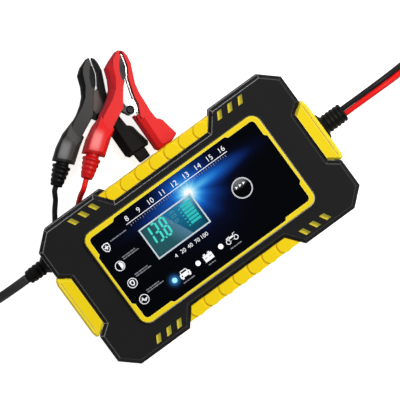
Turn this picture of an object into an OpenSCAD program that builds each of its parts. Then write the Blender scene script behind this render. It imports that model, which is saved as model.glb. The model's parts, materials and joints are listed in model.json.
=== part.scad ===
// Pulse charger for 12 V batteries, with mains cord, output lead and two spring clamps.
// Millimetres. X runs along the case to the output lead, Y across to the clamps, Z up out of the panel.

/* [Case] */
// length over the yellow end blocks
case_len = 165; // [158:1:175]
// width over the black guards
guard_w = 89; // [86:1:94]
// height of the guards' top face above the floor
guard_top = 46; // [45:0.5:48]
// height of the joint between the two halves
joint_z = 26; // [25:0.5:27]
// wall of the yellow shells
wall = 2.2; // [1.8:0.1:2.6]
// chamfer round the guards' top edge
guard_edge = 2.1; // [1.6:0.1:2.4]
// height of the rubber feet
foot_h = 4; // [3.6:0.1:4.4]
// radius of the rubber feet
foot_r = 5; // [4:0.25:5.5]

/* [Panel] */
// half length of the bezel
bezel_x = 57.2; // [56:0.2:58]
// half width of the bezel
bezel_y = 29.2; // [28.6:0.2:30]
// how far the bezel stands above the panel
bezel_h = 0.85; // [0.5:0.05:1.2]
// radius of the push button
button_r = 4.95; // [4.6:0.05:5]
// travel of the push button
button_travel = 0.7; // [0.4:0.1:0.9]
// radius of the light pipes
led_r = 1.4; // [1.2:0.05:1.45]

/* [Grips] */
// number of rounded pads on each side grip
pad_n = 7; // [5:1:9]
// spacing of the pads
pad_pitch = 9.6; // [8:0.2:10]

/* [Clamps] */
// thickness of a clamp at the tip
tip_t = 7.6; // [7.2:0.1:7.8]
// thickness of a clamp at the neck
neck_t = 9.4; // [9:0.1:9.6]
// radius of the pivot rivet
rivet_r = 1.2; // [1:0.05:1.3]
// thickness of the steel
steel_t = 0.8; // [0.6:0.05:0.9]

/* [Cords] */
// width of the flat mains cord
mains_w = 5.3; // [5:0.1:5.6]
// height of the flat mains cord
mains_t = 3.3; // [3:0.1:3.6]
// diameter of each output wire
wire_d = 3; // [2.8:0.1:3.2]

/* [Hidden] */
$fn = 32;
e = 0.15;
hx = case_len / 2;
hy = guard_w / 2;
gx = hx - 2.2;
plate1 = guard_top - 2.6;
plate0 = plate1 - 2.2;
bed1 = guard_top + 0.3;
bed0 = bed1 - 2.3;
lay0 = bed1 + 0.05;
lay1 = lay0 + 1.2;
bez1 = lay1 + bezel_h;
side_x = gx - 3.2;
side_y = hy - 3.2;
low_in = 9.8;
taper_z = 20;
screw_x = side_x - 17.1;
screw_y = side_y - 15.8;
foot_x = side_x - 27.1;
foot_y = side_y - 15.3;
board_z = 10;
board_x = side_x - wall - 20.4;
board_y = side_y - wall - 9.1;
kx = board_x / 54.5;
ky = board_y / 30;
button = [28.3, 0.2];
leds = [[-30, -18.5], [-14.5, -18.5], [0.6, -18.4]];
mains_y = 28;
cord_z = joint_z;
relief_end = -93.5;
out_end = 97;
in_end = side_x - wall - 0.2;
// the clamps: steel levels either side of the middle plane, boots, sleeve, and how each clamp lies
ear1 = 2.8;
ear0 = ear1 - steel_t;
nest1 = ear0 - 0.2;
nest0 = nest1 - steel_t;
boot_t = 12;
grip_t = 8.4;
sleeve_a = 218;
sleeve_at = [-33.3, -12.2, 0];
sleeve_dir = -[cos(sleeve_a), sin(sleeve_a), 0];
sleeve_end = sleeve_at - 13 * sleeve_dir;
red_at = [6, 73, 13.15];
red_roll = [0, 12.4];
black_at = [-9.3, 79.2, 5.2];
black_roll = [-1.14, 3.74];
pin = [-2.1, -4.2];

// ---------- helpers ----------
function unit(v) = v / norm(v);
function quad(q) = concat(q,
  [for (i = [len(q) - 1:-1:0]) [-q[i][0], q[i][1]]],
  [for (p = q) [-p[0], -p[1]]],
  [for (i = [len(q) - 1:-1:0]) [q[i][0], -q[i][1]]]);
// an outline moved inward by d, corner by corner
function inset(p, d) = let (n = len(p))
  [for (i = [0:n - 1])
    let (a = p[(i + n - 1) % n], b = p[i], c = p[(i + 1) % n],
      u = unit(b - a), v = unit(c - b), m = [u[1], -u[0]], k = [v[1], -v[0]])
    b - d * (m + k) / (1 + m * k)];
function shift(p, v) = [for (q = p) q + v];
function lift(p, z) = [for (q = p) [q[0], q[1], z]];
// an outline cut into triangles, one ear at a time; it runs anticlockwise
function turn(a, b, c) = (b[0] - a[0]) * (c[1] - a[1]) - (b[1] - a[1]) * (c[0] - a[0]);
function holds(a, b, c, q) = turn(a, b, q) >= 0 && turn(b, c, q) >= 0 && turn(c, a, q) >= 0;
function is_ear(p, left, i) = let (n = len(left), a = left[(i + n - 1) % n], b = left[i], c = left[(i + 1) % n])
  turn(p[a], p[b], p[c]) > 0.0001
  && len([for (k = left) if (k != a && k != b && k != c && holds(p[a], p[b], p[c], p[k])) k]) == 0;
function find_ear(p, left, i = 0) = i >= len(left) - 1 || is_ear(p, left, i) ? i : find_ear(p, left, i + 1);
function ears(p, left) = let (n = len(left), i = find_ear(p, left))
  n == 3 ? [left] : concat([[left[(i + n - 1) % n], left[i], left[(i + 1) % n]]],
    ears(p, [for (k = [0:n - 1]) if (k != i) left[k]]));
// a closed solid through rings of 3-D points, all with the same number of points, with its two end faces given
module wrap(rings, first, last) {
  n = len(rings[0]);
  sides = [for (j = [0:len(rings) - 2]) for (i = [0:n - 1]) let (a = j * n + i, b = j * n + (i + 1) % n)
    each [[a, a + n, b + n], [a, b + n, b]]];
  polyhedron([for (r = rings) each r], concat(first, sides, last));
}
// through round rings, as along a cord
module skin(rings) {
  n = len(rings[0]);
  wrap(rings, [[for (i = [0:n - 1]) i]], [[for (i = [n - 1:-1:0]) (len(rings) - 1) * n + i]]);
}
// through level outlines, from the lowest up
module loft(rings) {
  n = len(rings[0]);
  top = (len(rings) - 1) * n;
  wrap(rings, ears(rings[0], [for (i = [0:n - 1]) i]),
    [for (t = ears(rings[len(rings) - 1], [for (i = [0:n - 1]) i])) [top + t[2], top + t[1], top + t[0]]]);
}
module slab(p, z0, z1) translate([0, 0, z0]) linear_extrude(z1 - z0) polygon(p);
module box(x0, x1, y0, y1, z0, z1) translate([x0, y0, z0]) cube([x1 - x0, y1 - y0, z1 - z0]);
module rod(x, y, z0, z1, r, n = 32) translate([x, y, z0]) cylinder(h = z1 - z0, r = r, $fn = n);
module four(x, y) for (i = [-1, 1]) for (j = [-1, 1]) translate([i * x, j * y, 0]) children();

// ---------- outlines of the case ----------
// the guards' outline, with its notches at the sides (nx wide) and the ends
function guard_line(nx) = quad([[gx - 6, 15], [gx, 19.5], [gx, hy - 8.5], [gx - 9.5, hy],
  [nx + 7.5, hy], [nx, hy - 9.5]]);
front_line = guard_line(31);
// the rear guard comes further along beside the clamps
rear_line = let (q = guard_line(31), w = guard_line(27))
  [for (i = [0:len(q) - 1]) q[i][0] < 0 && q[i][1] > 0 ? w[i] : q[i]];
shell_line = quad([[side_x, hy - 10.6], [side_x - 7.4, side_y]]);
bezel_line = quad([[bezel_x, bezel_y - 5], [bezel_x - 0.4, bezel_y - 3.1], [bezel_x - 1.5, bezel_y - 1.5],
  [bezel_x - 3.1, bezel_y - 0.4], [bezel_x - 5, bezel_y]]);
// inside of the bezel: thin along the sides, thick round the corners
inner_line = quad([[bezel_x - 1.5, 15], [bezel_x - 2.9, 16.3], [bezel_x - 2.9, bezel_y - 4.9],
  [bezel_x - 3.5, bezel_y - 3.5], [bezel_x - 4.9, bezel_y - 2.9], [38, bezel_y - 2.9],
  [36.6, bezel_y - 1.5]]);

module shell_skin(d, z0, z1) {
  // the yellow body without its grips, tapering to the bottom, d larger than nominal
  loft([lift(inset(shell_line, low_in - d), z0), lift(inset(shell_line, -d), taper_z),
    lift(inset(shell_line, -d), z1)]);
}
module grip(z0, z1) {
  // one side grip with its rounded pads, and its ends cut to the notch's slant
  intersection() {
    union() {
      slab([[-37.2, side_y - 3], [37.2, side_y - 3], [37.2, hy - 3.1], [36.4, hy - 2.6],
        [-36.4, hy - 2.6], [-37.2, hy - 3.1]], z0, z1 - 0.9);
      slab([[-33, hy - 9.3], [33, hy - 9.3], [33, hy - 3.4], [-33, hy - 3.4]], z0, z1 - 0.9);
      for (i = [0:pad_n - 1])
        translate([(i - (pad_n - 1) / 2) * pad_pitch, hy - 6.4, z0])
          cylinder(h = z1 - z0, r1 = 4.15, r2 = 4.15, $fn = 28);
    }
    slab([[-30.9, hy - 9.35], [30.9, hy - 9.35], [38.2, hy - 0.2], [-38.2, hy - 0.2]], z0 - 1, z1 + 1);
  }
}
module grip_low(z0, z1, left, right) {
  // the lower half of a grip, shorter and with a sloped underside
  line = [[-left, side_y - 3], [right, side_y - 3], [right + 2.9, hy - 2.5], [-left - 2.9, hy - 2.5]];
  foot = [[2.4 - left, side_y - 6], [right - 2.4, side_y - 6], [right + 0.4, side_y - 2.5],
    [-left - 0.4, side_y - 2.5]];
  loft([lift(foot, z0), lift(line, z1 - 2), lift(line, z1)]);
}
end_line = [[gx - 9, -14], [gx - 5.85, -14.6], [gx, -19], [gx + 1.6, -18.4], [hx - 0.5, -17.4], [hx, -15.9],
  [hx, 15.9], [hx - 0.5, 17.4], [gx + 1.6, 18.4], [gx, 19], [gx - 5.85, 14.6], [gx - 9, 14]];
module end_block(z0, z1) loft([lift(end_line, z0), lift(end_line, z1 - 1.2), lift(inset(end_line, 1), z1)]);
module end_low(z0, z1) loft([lift(inset(end_line, 4), z0), lift(end_line, z0 + 5), lift(end_line, z1)]);

// ---------- case ----------
module rear_shell() color([0.98, 0.86, 0.06]) difference() {
  union() {
    shell_skin(0, foot_h, joint_z);
    for (s = [0, 180]) rotate(s) {
      grip_low(17, joint_z, s == 0 ? 29.4 : 33.4, 33.4);
      end_low(13, joint_z);
    }
  }
  difference() {
    loft([lift(inset(shell_line, low_in + wall), foot_h + wall), lift(inset(shell_line, wall), taper_z),
      lift(inset(shell_line, wall), joint_z + 1)]);
    four(screw_x, screw_y) cylinder(h = joint_z, r = 4.1);
    four(foot_x, foot_y) cylinder(h = board_z, r = 3.2);
  }
  four(screw_x, screw_y) {
    translate([0, 0, foot_h - 1]) cylinder(h = joint_z, r = 1.75);
    translate([0, 0, foot_h - 1]) cylinder(h = 4.2, r = 3.3);
  }
  four(foot_x, foot_y) {
    translate([0, 0, foot_h - 1]) cylinder(h = 1.6, r = foot_r + 0.1);
    translate([0, 0, board_z - 3]) cylinder(h = 4, r = 0.9);
  }
  // half holes for the strain reliefs, and the groove of each end block
  translate([-90, mains_y, cord_z]) rotate([0, 90, 0]) cylinder(h = 30, r = 4.3);
  translate([70, 0, cord_z]) rotate([0, 90, 0]) cylinder(h = 30, r = 4.3);
  for (s = [0, 180]) rotate(s) box(hx - 2.6, hx - 2, -16, 16, joint_z - 0.5, joint_z + 1);
  // air slots in the bottom
  for (i = [-3:3]) box(i * 8 - 1, i * 8 + 1, -14, 14, foot_h - 1, foot_h + wall + 1);
}
module front_shell() color([0.98, 0.86, 0.06]) difference() {
  union() {
    loft([lift(shell_line, joint_z + 0.02), lift(shell_line, plate1)]);
    for (s = [0, 180]) rotate(s) {
      grip(joint_z + 0.02, guard_top - 0.7);
      difference() {
        end_block(joint_z + 0.02, guard_top - 0.8);
        box(gx - 10, gx - 5.95, -15, 15, plate1, guard_top);
        box(hx - 2.6, hx - 2, -16, 16, guard_top - 1.5, guard_top);
      }
    }
    loft([lift(bezel_line, plate1 - 1), lift(bezel_line, bez1 - 0.45), lift(inset(bezel_line, 0.4), bez1)]);
  }
  difference() {
    loft([lift(inset(shell_line, wall), joint_z - 1), lift(inset(shell_line, wall), plate0)]);
    four(screw_x, screw_y) cylinder(h = plate0 + 1, r = 4.1);
  }
  four(screw_x, screw_y) translate([0, 0, joint_z - 1]) cylinder(h = plate0 - joint_z, r = 1.25);
  // room under the panel bed, and the recess that the panel lies in
  slab(inset(bezel_line, 4.6), plate0 - 1, bed0);
  slab(inset(inner_line, -0.02), bed1, bez1 + 1);
  box(-30.6, 5, -5.2, 15.4, bed0 - 1, bed1 + 1);
  rod(button[0], button[1], bed0 - 1, bed1 + 1, button_r + 0.25);
  for (p = leds) rod(p[0], p[1], bed0 - 1, bed1 + 1, led_r + 0.05);
  translate([-90, mains_y, cord_z]) rotate([0, 90, 0]) cylinder(h = 30, r = 4.3);
  translate([70, 0, cord_z]) rotate([0, 90, 0]) cylinder(h = 30, r = 4.3);
}
module slots() {
  // three slanted slots near each corner, leaning the other way on each side
  for (i = [-1, 1]) for (j = [-1, 1]) scale([i, j, 1]) for (k = [0:2])
    translate([0, 0, guard_top - 3]) linear_extrude(4)
      polygon([[39 + k * 6.8, hy - 7.9], [41.9 + k * 6.8, hy - 7.9], [44.3 + k * 6.8, hy - 3.6],
        [41.4 + k * 6.8, hy - 3.6]]);
}
module front_guard() color([0.12, 0.12, 0.13]) difference() {
  loft([lift(inset(front_line, 0.5), joint_z + 0.05), lift(front_line, joint_z + 0.7),
    lift(front_line, guard_top - guard_edge), lift(inset(front_line, guard_edge), guard_top)]);
  loft([lift(inset(shell_line, -e), joint_z - 1), lift(inset(shell_line, -e), plate1 + e)]);
  slab(inset(bezel_line, -0.2), plate1 - 1, guard_top + 1);
  slots();
  translate([-90, mains_y, cord_z]) rotate([0, 90, 0]) cylinder(h = 30, r = 4.3);
}
module rear_guard() color([0.12, 0.12, 0.13]) difference() {
  loft([lift(inset(rear_line, 8.4), 7), lift(rear_line, taper_z - 1),
    lift(rear_line, joint_z - 0.6), lift(inset(rear_line, 0.5), joint_z)]);
  shell_skin(e, foot_h, joint_z + 1);
  for (s = [0, 180]) rotate(s) slab(inset(end_line, -0.1), 4, joint_z + 1);
  translate([-90, mains_y, cord_z]) rotate([0, 90, 0]) cylinder(h = 30, r = 4.3);
}
module case_screws() color([0.6, 0.6, 0.62]) four(screw_x, screw_y) difference() {
  union() {
    translate([0, 0, foot_h + 0.8]) cylinder(h = 2.35, r = 3);
    translate([0, 0, foot_h + 3]) cylinder(h = joint_z - foot_h + 7, r = 1.2);
  }
  for (a = [0, 90]) rotate(a) translate([-1.8, -0.4, foot_h + 0.5]) cube([3.6, 0.8, 1.6]);
}
module feet() color([0.1, 0.1, 0.1]) four(foot_x, foot_y) {
  translate([0, 0, 0.5]) cylinder(h = foot_h + 0.1, r = foot_r);
  cylinder(h = 0.5, r1 = foot_r - 0.5, r2 = foot_r);
}

// ---------- panel ----------
module panel_overlay() color([0.02, 0.02, 0.03]) difference() {
  slab(inset(inner_line, 0.12), lay0, lay1);
  box(-29.55, 3.75, -4.05, 14.05, lay0 - 1, lay1 + 1);
  rod(button[0], button[1], lay0 - 1, lay1 + 1, button_r + 0.85);
  for (p = leds) rod(p[0], p[1], lay0 - 1, lay1 + 1, led_r + 0.05);
}
module lcd_lens() color([0.1, 0.45, 0.5]) {
  box(-29.5, 3.7, -4, 14, lay0 - 0.3, lay1 - 0.1);
  box(-30.3, 4.5, -4.8, 14.9, lay0 - 1, lay0 - 0.3);
}
module lcd_glass() color([0.1, 0.5, 0.52]) box(-30.2, 4.4, -4.8, 14.8, bed0 + 0.3, lay0 - 1.05);
module lcd_backlight() color([0.9, 0.9, 0.88]) difference() {
  box(-30.2, 4.6, -4.9, 15, bed0 - 2.4, bed0 + 0.25);
  box(-27, 1.4, -2, 12, bed0 - 3, bed0 - 1.2);
}
module button_ring() color([0.8, 0.8, 0.82]) difference() {
  rod(button[0], button[1], lay0, lay1 + 0.3, button_r + 0.8, 64);
  rod(button[0], button[1], lay0 - 1, lay1 + 1, button_r + 0.1, 64);
}
module mode_button() color([0.03, 0.03, 0.03]) translate([button[0], button[1], 0]) difference() {
  rotate_extrude($fn = 64) polygon([[0, bed0 - 1], [button_r + 1.3, bed0 - 1],
    [button_r + 1.3, bed0 - 0.15], [button_r, bed0 - 0.15], [button_r, lay1 + 0.35],
    [button_r - 0.4, lay1 + 0.65], [button_r - 2.2, lay1 + 0.85], [0, lay1 + 0.95]]);
  difference() {
    translate([0, 0, bed0 - 2]) cylinder(h = lay1 - bed0 + 1, r = button_r - 0.8, $fn = 64);
    translate([0, 0, bed0 + 1.45]) cylinder(h = 9, r = 1.6);
  }
}
module switch_body() color([0.15, 0.15, 0.16]) difference() {
  box(button[0] - 2.6, button[0] + 2.6, button[1] - 2.6, button[1] + 2.6, bed0 - 2.4, bed0 + 0.6);
  rod(button[0], button[1], bed0 - 1.6, bed0 + 1, 1.36);
}
module switch_plunger() color([0.7, 0.7, 0.7]) rod(button[0], button[1], bed0 - 0.6, bed0 + 1.4, 1.3);
module pipe(p) {
  rod(p[0], p[1], bed0 - 1.6, lay1 + 0.15, led_r);
  rod(p[0], p[1], bed0 - 2.38, bed0 - 1.55, led_r + 0.5);
}
module led_lit() color([0.3, 0.65, 1]) pipe(leds[0]);
module led_dark() color([0.9, 0.9, 0.9]) {
  pipe(leds[1]);
  pipe(leds[2]);
}
module display_board() color([0.05, 0.3, 0.16]) difference() {
  box(-50, 46, -24, 21, bed0 - 4, bed0 - 2.42);
  for (x = [-46, 42]) for (y = [-20, 17]) rod(x, y, bed0 - 5, bed0 - 1, 1.1);
}

// ---------- inside ----------
module main_board() color([0.06, 0.32, 0.17]) difference() {
  box(-board_x, board_x, -board_y, board_y, board_z + 0.02, board_z + 1.62);
  four(foot_x, foot_y) translate([0, 0, board_z - 1]) cylinder(h = 4, r = 1.2);
  four(screw_x, screw_y) translate([0, 0, board_z - 1]) cylinder(h = 4, r = 5);
}
module board_screws() color([0.7, 0.7, 0.72]) four(foot_x, foot_y) {
  translate([0, 0, board_z + 1.64]) cylinder(h = 1.4, r = 2.2);
  translate([0, 0, board_z - 2.8]) cylinder(h = 4.6, r = 0.85);
}
bt = board_z + 1.64;
module transformer_core() color([0.12, 0.12, 0.13]) difference() {
  box(-14, 14, -13, 13, bt + 1, bt + 21);
  box(-9.5, 9.5, -20, 20, bt + 5, bt + 17);
}
module transformer_coil() color([0.85, 0.72, 0.3]) {
  box(-9, 9, -16, 16, bt + 5.4, bt + 16.6);
  for (s = [-1, 1]) box(-10, 10, s * 17 - 1.2, s * 17 + 1.2, bt, bt + 18);
}
module heatsink() color([0.75, 0.76, 0.78]) translate([28 * kx, 0, 0]) {
  box(0, 3, -24, 24, bt, bt + 24);
  for (i = [0:6]) box(2.9, 11, -24 + i * 7.7, -22.4 + i * 7.7, bt + 1, bt + 24);
}
module power_devices() color([0.1, 0.1, 0.11]) translate([28 * kx, 0, 0]) for (y = [-14, 6]) {
  box(-5, -0.05, y, y + 10, bt + 6, bt + 21);
  for (i = [-1:1]) box(-3, -2.3, y + 4.6 + i * 2.5, y + 5.4 + i * 2.5, bt, bt + 6.1);
}
module bulk_capacitors() color([0.13, 0.14, 0.2]) for (y = [-12, 8]) {
  rod(-29.5 * kx, y, bt, bt + 26, 8, 48);
}
module small_capacitors() color([0.2, 0.2, 0.24]) {
  for (y = [-14.4, 14.4]) rod(46 * kx, y, bt, bt + 16, 4);
  translate([-46 * kx, 0, 0]) box(0, 5.5, -14, 3, bt, bt + 12);
}
module choke() color([0.75, 0.42, 0.16]) translate([18 * kx, 23 * ky, bt]) rotate([90, 0, 90])
  translate([-2, 7.5, -4]) rotate_extrude($fn = 48) translate([5.2, 0]) square([2.2, 7]);
module fuse() color([0.85, 0.85, 0.8]) translate([-47 * kx, 6.5 * ky, bt + 3]) rotate([0, 90, 90]) {
  cylinder(h = 14, r = 2.2);
  for (z = [0, 10.5]) translate([0, 0, z]) cylinder(h = 3.5, r = 2.9);
}
module terminal_blocks() color([0.1, 0.35, 0.2]) {
  translate([2.6 - foot_x, 23.2 * ky, 0]) box(0, 7.4, 0, 6.4, bt, bt + 8);
  translate([43 * kx, 0, 0]) box(0, 8, -4.5, 4.5, bt, bt + 8);
}
module board_link() color([0.12, 0.12, 0.13]) box(8, 20, -22, -19, bt, bed0 - 4.05);
module mains_tails() color([0.3, 0.35, 0.6]) for (y = [-1.2, 1.2])
  tube([[1.25 - in_end, mains_y - 0.1 + y, cord_z], [4.2 - in_end, 0.7 * mains_y + 0.3 * screw_y + 2.2 + y, cord_z],
    [-screw_x - 6.5, screw_y + 6.2 + y, cord_z - 1], [-screw_x, screw_y + 7 + y, cord_z - 3],
    [6.5 - screw_x, screw_y + 4.6 + y, 20.4], [2.1 - foot_x, 23.2 * ky + 3.8 + y, bt + 5]],
    0.8, 0.8, 8, [1, 0, 0], [1, 0, -0.6], 3);
module output_tails() color([0.55, 0.1, 0.1]) for (y = [-1.5, 1.5])
  tube([[in_end - 1.25, y, cord_z], [in_end - 5.7, y, cord_z], [in_end - 12.7, y * 1.2, cord_z - 3],
    [43 * kx + 12, y * 1.4, 18.6], [43 * kx + 8.3, y * 1.5, bt + 5]],
    0.75, 0.75, 8, [-1, 0, 0], [-1, 0, -0.3], 3);

// ---------- cords ----------
function spline(p, k) = let (n = len(p))
  concat([for (i = [0:n - 2]) for (j = [0:k - 1])
    let (a = i == 0 ? 2 * p[0] - p[1] : p[i - 1], b = p[i], c = p[i + 1],
      d = i == n - 2 ? 2 * p[n - 1] - p[n - 2] : p[i + 2], t = j / k)
    0.5 * (2 * b + (c - a) * t + (2 * a - 5 * b + 4 * c - d) * t * t + (3 * b - a - 3 * c + d) * t * t * t)],
    [p[n - 1]]);
function run(q, i = 0, s = 0) = i >= len(q) - 1 ? s : run(q, i + 1, s + norm(q[i + 1] - q[i]));
function ring(c, t, rx, rz, n) = let (s = unit(cross(t, [0, 0, 1])), u = cross(s, t))
  [for (i = [0:n - 1]) let (a = -(i + 0.5) * 360 / n) c + s * rx * cos(a) + u * rz * sin(a)];
function rings(q, rx, rz, n, t0, t1) = let (k = len(q) - 1)
  [for (i = [0:k]) let (t = i == 0 ? unit(t0) : i == k ? unit(t1) : unit(q[i + 1] - q[i - 1]))
    ring(q[i], t, rx, rz, n)];
// a free stretch of cord through its points; rx and rz are its half width and half height
module tube(p, rx, rz, n, t0, t1, k) skin(rings(spline(p, k), rx, rz, n, t0, t1));
module on_floor() difference() {
  children();
  translate([-300, -300, -20]) cube([700, 700, 20]);
}
mx = mains_w / 2;
mz = mains_t / 2;
mf = mz * 0.86;
coil_x = -165;
coil_r = 34.5;
coil_y = mains_y + coil_r;
coil_step = mains_w + 0.7;
coil_rise = mains_t + 0.55;
coil_in = 2.425;
mains_path = [[relief_end, mains_y, cord_z], [-100, mains_y, cord_z - 0.2], [-106, mains_y, cord_z - 2.6],
  [-113, mains_y, 18], [-120, mains_y, 11.5], [-127, mains_y, 5.6], [-134, mains_y, 2.3],
  [-142, mains_y, mf], [-152, mains_y, mf], [coil_x + 5, mains_y, mf], [coil_x, mains_y, mf]];
// the coil: in at the outside, spiralling in on the floor, up, then out again on top
function coil_at(t) = let (up = (t - coil_in) / 0.4, w = max(0, min(1, up)),
  r = t < coil_in ? coil_r - coil_step * t : t < coil_in + 0.4 ? coil_r - coil_step * coil_in
    : coil_r - coil_step * coil_in + coil_step * (t - coil_in - 0.4),
  a = -90 - 360 * t)
  [coil_x + r * cos(a), coil_y + r * sin(a), mf + coil_rise * w * w * (3 - 2 * w)];
coil_turns = coil_in * 2 + 0.4;
coil_pts = [for (i = [0:round(coil_turns * 24)]) coil_at(i * coil_turns / round(coil_turns * 24))];
coil_n = len(coil_pts);
coil_out = coil_pts[coil_n - 1];
coil_dir = unit(coil_pts[coil_n - 1] - coil_pts[coil_n - 2] + 0.5 * (coil_pts[coil_n - 1]
  - 2 * coil_pts[coil_n - 2] + coil_pts[coil_n - 3]));
coil_gap = min(coil_step - mains_w, coil_rise - mains_t);
echo(coil_gap = coil_gap, coil_turns = coil_turns, coil_length = run(coil_pts));
echo(coil_out = coil_out, coil_dir = coil_dir);
// the plug lies across the coil, with its pins over the cord's way in
plug_half = 6.85;
plug_base = mf + coil_rise + mz + 0.1;
plug_z = plug_base + plug_half;
turn_r = coil_r * cos(45) / (1 + cos(45));
turn_c = [coil_x - (coil_r - turn_r) * cos(45), coil_y + (coil_r - turn_r) * cos(45)];
plug_x = coil_x;
plug_y = turn_c[1] - 5;
module mains_cord() color([0.09, 0.09, 0.09]) on_floor()
  tube(mains_path, mx, mz, 8, [-1, 0, 0], [-1, 0, 0], 3);
module mains_coil() color([0.09, 0.09, 0.09]) on_floor()
  skin([for (i = [0:coil_n - 1]) ring(coil_pts[i], i == 0 ? [-1, 0, 0] : i == coil_n - 1 ? coil_dir
    : unit(coil_pts[i + 1] - coil_pts[i - 1]), mx, mz, 6)]);

over_z = coil_out[2] + coil_rise;
end_path = concat([coil_out],
  [for (k = [[-195, 0.25], [-210, 0.7], [-225, 1]]) [coil_x + coil_r * cos(k[0]), coil_y + coil_r * sin(k[0]),
    coil_out[2] + k[1] * coil_rise]],
  [for (k = [[-255, 0.06], [-285, 0.2], [-315, 0.5], [-340, 0.78]]) [turn_c[0] + turn_r * cos(k[0]),
    turn_c[1] + turn_r * sin(k[0]), over_z + k[1] * (plug_z - over_z)]],
  [[plug_x, plug_y + 4.2, plug_z - 0.15], [plug_x, plug_y, plug_z]]);
module mains_cord_end() color([0.09, 0.09, 0.09]) on_floor()
  tube(end_path, mx, mz, 8, coil_dir, [0, -1, 0], 3);
plug_side = [[-4.2, 0], [4.2, 0], [4.6, 10], [8.5, 17], [12.6, 22], [13.2, 26], [13.2, 44], [12.4, 46],
  [-12.4, 46], [-13.2, 44], [-13.2, 26], [-12.6, 22], [-8.5, 17], [-4.6, 10]];
module at_plug() translate([plug_x, plug_y, plug_z]) rotate(180) children();
module plug_body() color([0.08, 0.08, 0.08]) at_plug() difference() {
  loft([lift(inset(plug_side, 1.6), -plug_half), lift(plug_side, 2.2 - plug_half),
    lift(plug_side, plug_half - 2.2), lift(inset(plug_side, 1.6), plug_half)]);
  for (s = [-1, 1]) for (k = [0:3]) translate([s * 13.4, 30 + k * 3, -8]) cylinder(h = 16, r = 0.9, $fn = 16);
  for (s = [-1, 1]) translate([s * 9.3, 40, 0]) rotate([-90, 0, 0]) cylinder(h = 10, r = 1.82);
}
module plug_pins() color([0.8, 0.8, 0.82]) at_plug()
  for (s = [-1, 1]) translate([s * 9.3, 46.05, 0]) rotate([-90, 0, 0]) {
    translate([0, 0, -6]) cylinder(h = 7, r = 1.8);
    cylinder(h = 18, r = 2, $fn = 48);
    translate([0, 0, 18]) cylinder(h = 0.8, r1 = 2, r2 = 1.3, $fn = 48);
  }
module mains_relief() color([0.08, 0.08, 0.08]) translate([0, mains_y, cord_z]) rotate([0, -90, 0])
  rotate_extrude($fn = 48) polygon(concat([[0, in_end - 1.2], [5.1, in_end - 1.2], [5.1, in_end],
    [4.2, in_end], [4.2, gx + 0.2], [5, gx + 0.2], [5, gx + 1.6], [4.3, gx + 1.6]],
    [for (k = [0:3]) each [[4.25 - k * 0.14, gx + 2.5 + k * 2.7], [3.4, gx + 2.8 + k * 2.7],
      [3.4, gx + 3.9 + k * 2.7], [4.2 - k * 0.14, gx + 4.2 + k * 2.7]]], [[3.4, -relief_end], [0, -relief_end]]));
module output_relief() color([0.08, 0.08, 0.08]) translate([0, 0, cord_z]) rotate([0, 90, 0])
  rotate_extrude($fn = 48) polygon(concat([[0, in_end - 1.2], [5.7, in_end - 1.2], [5.7, in_end], [4.2, in_end],
    [4.2, hx + 0.1],
    [7.4, hx + 0.1], [7.4, hx + 1.2], [7, hx + 1.6], [5.1, hx + 1.6]],
    [for (k = [0:4]) each [[5.1, hx + 2.4 + k * 2.4], [4.4, hx + 2.6 + k * 2.4],
      [4.4, hx + 3.6 + k * 2.4], [5.1, hx + 3.8 + k * 2.4]]], [[4.7, out_end], [0, out_end]]));

// ---------- output lead: a twin that splits into two wires ----------
wr = wire_d / 2;
wf = wr * 0.86;
lead_path = [[out_end, 0, cord_z], [104, 0, cord_z], [112, 0, cord_z - 0.1], [119, 0, 25.6], [126, 0, 24.2],
  [132, 0, 21.4], [137, 0, 17.4], [141, -0.1, 13.2], [145, -0.8, 9.2], [150, -2.4, 5.4], [157, -5.8, 2.4],
  [165, -10.2, wf], [174, -15, wf], [184, -19, wf], [195, -20, wf], [206, -16, wf], [213, -7, wf],
  [215, 4, wf], [211, 14, wf], [202, 21, wf], [191, 22, wf], [180, 18, wf], [171, 13, wf], [162, 8, wf],
  [153, 3.2, wf], [145, 0, wf], [137, -1.4, wf], [128, -1.6, wf], [112, -1.5, wf], [92, -1.3, wf], [70, -1, wf],
  [48, -1, wf], [26, -1, wf], [4, -1, wf], [-12, -1, wf], [-22, -1, wf]];
lead_mid = spline(lead_path, 2);
lead_k = len(lead_mid) - 1;
function lead_side(i) = let (t = i == 0 ? [1, 0, 0] : i == lead_k ? [-1, 0, 0] : lead_mid[i + 1] - lead_mid[i - 1])
  unit(cross(t, [0, 0, 1]));
// one wire of the twin: s is 1 for the red one, on the right of the way it runs
function twin(s) = [for (i = [0:lead_k]) lead_mid[i] + s * (wr + 0.04) * lead_side(i)];
red_end = clamp_pt(red_at, red_roll, sleeve_end);
red_dir = clamp_dir(red_roll, sleeve_dir);
black_end = clamp_pt(black_at, black_roll, sleeve_end);
black_dir = clamp_dir(black_roll, sleeve_dir);
red_own = concat([[-28, 0.55, wf], [-34.4, 0.6, wf], [-44.7, 2.8, wf], [-53, 9.2, wf], [-57.9, 18.5, wf],
  [-58.3, 29, wf], [-55.6, 36.6, 2], [-52.2, 40.8, 4.6], [-49.8, 43, 8.8], [-47.5, 44.9, 13.8],
  [-44.8, 47, 18.4]], [red_end - 6.4 * red_dir + [0, 0, -0.6], red_end - 3 * red_dir, red_end]);
black_own = concat([[-30, -2.55, wf], [-41.3, -2.5, wf], [-53.6, 0.2, wf], [-63.5, 7.8, wf], [-69.3, 19, wf],
  [-69.9, 31.2, wf], [-66.7, 40.3, 2.8], [-63.9, 45, 4.2], [-61, 49, 5.4], [-57.6, 53, 6.3]],
  [black_end - 3 * black_dir, black_end]);
function wire_line(s, own) = let (a = twin(s), b = spline(concat([a[lead_k]], own), 2))
  concat(a, [for (i = [1:len(b) - 1]) b[i]]);
red_line = wire_line(1, red_own);
black_line = wire_line(-1, black_own);
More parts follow.
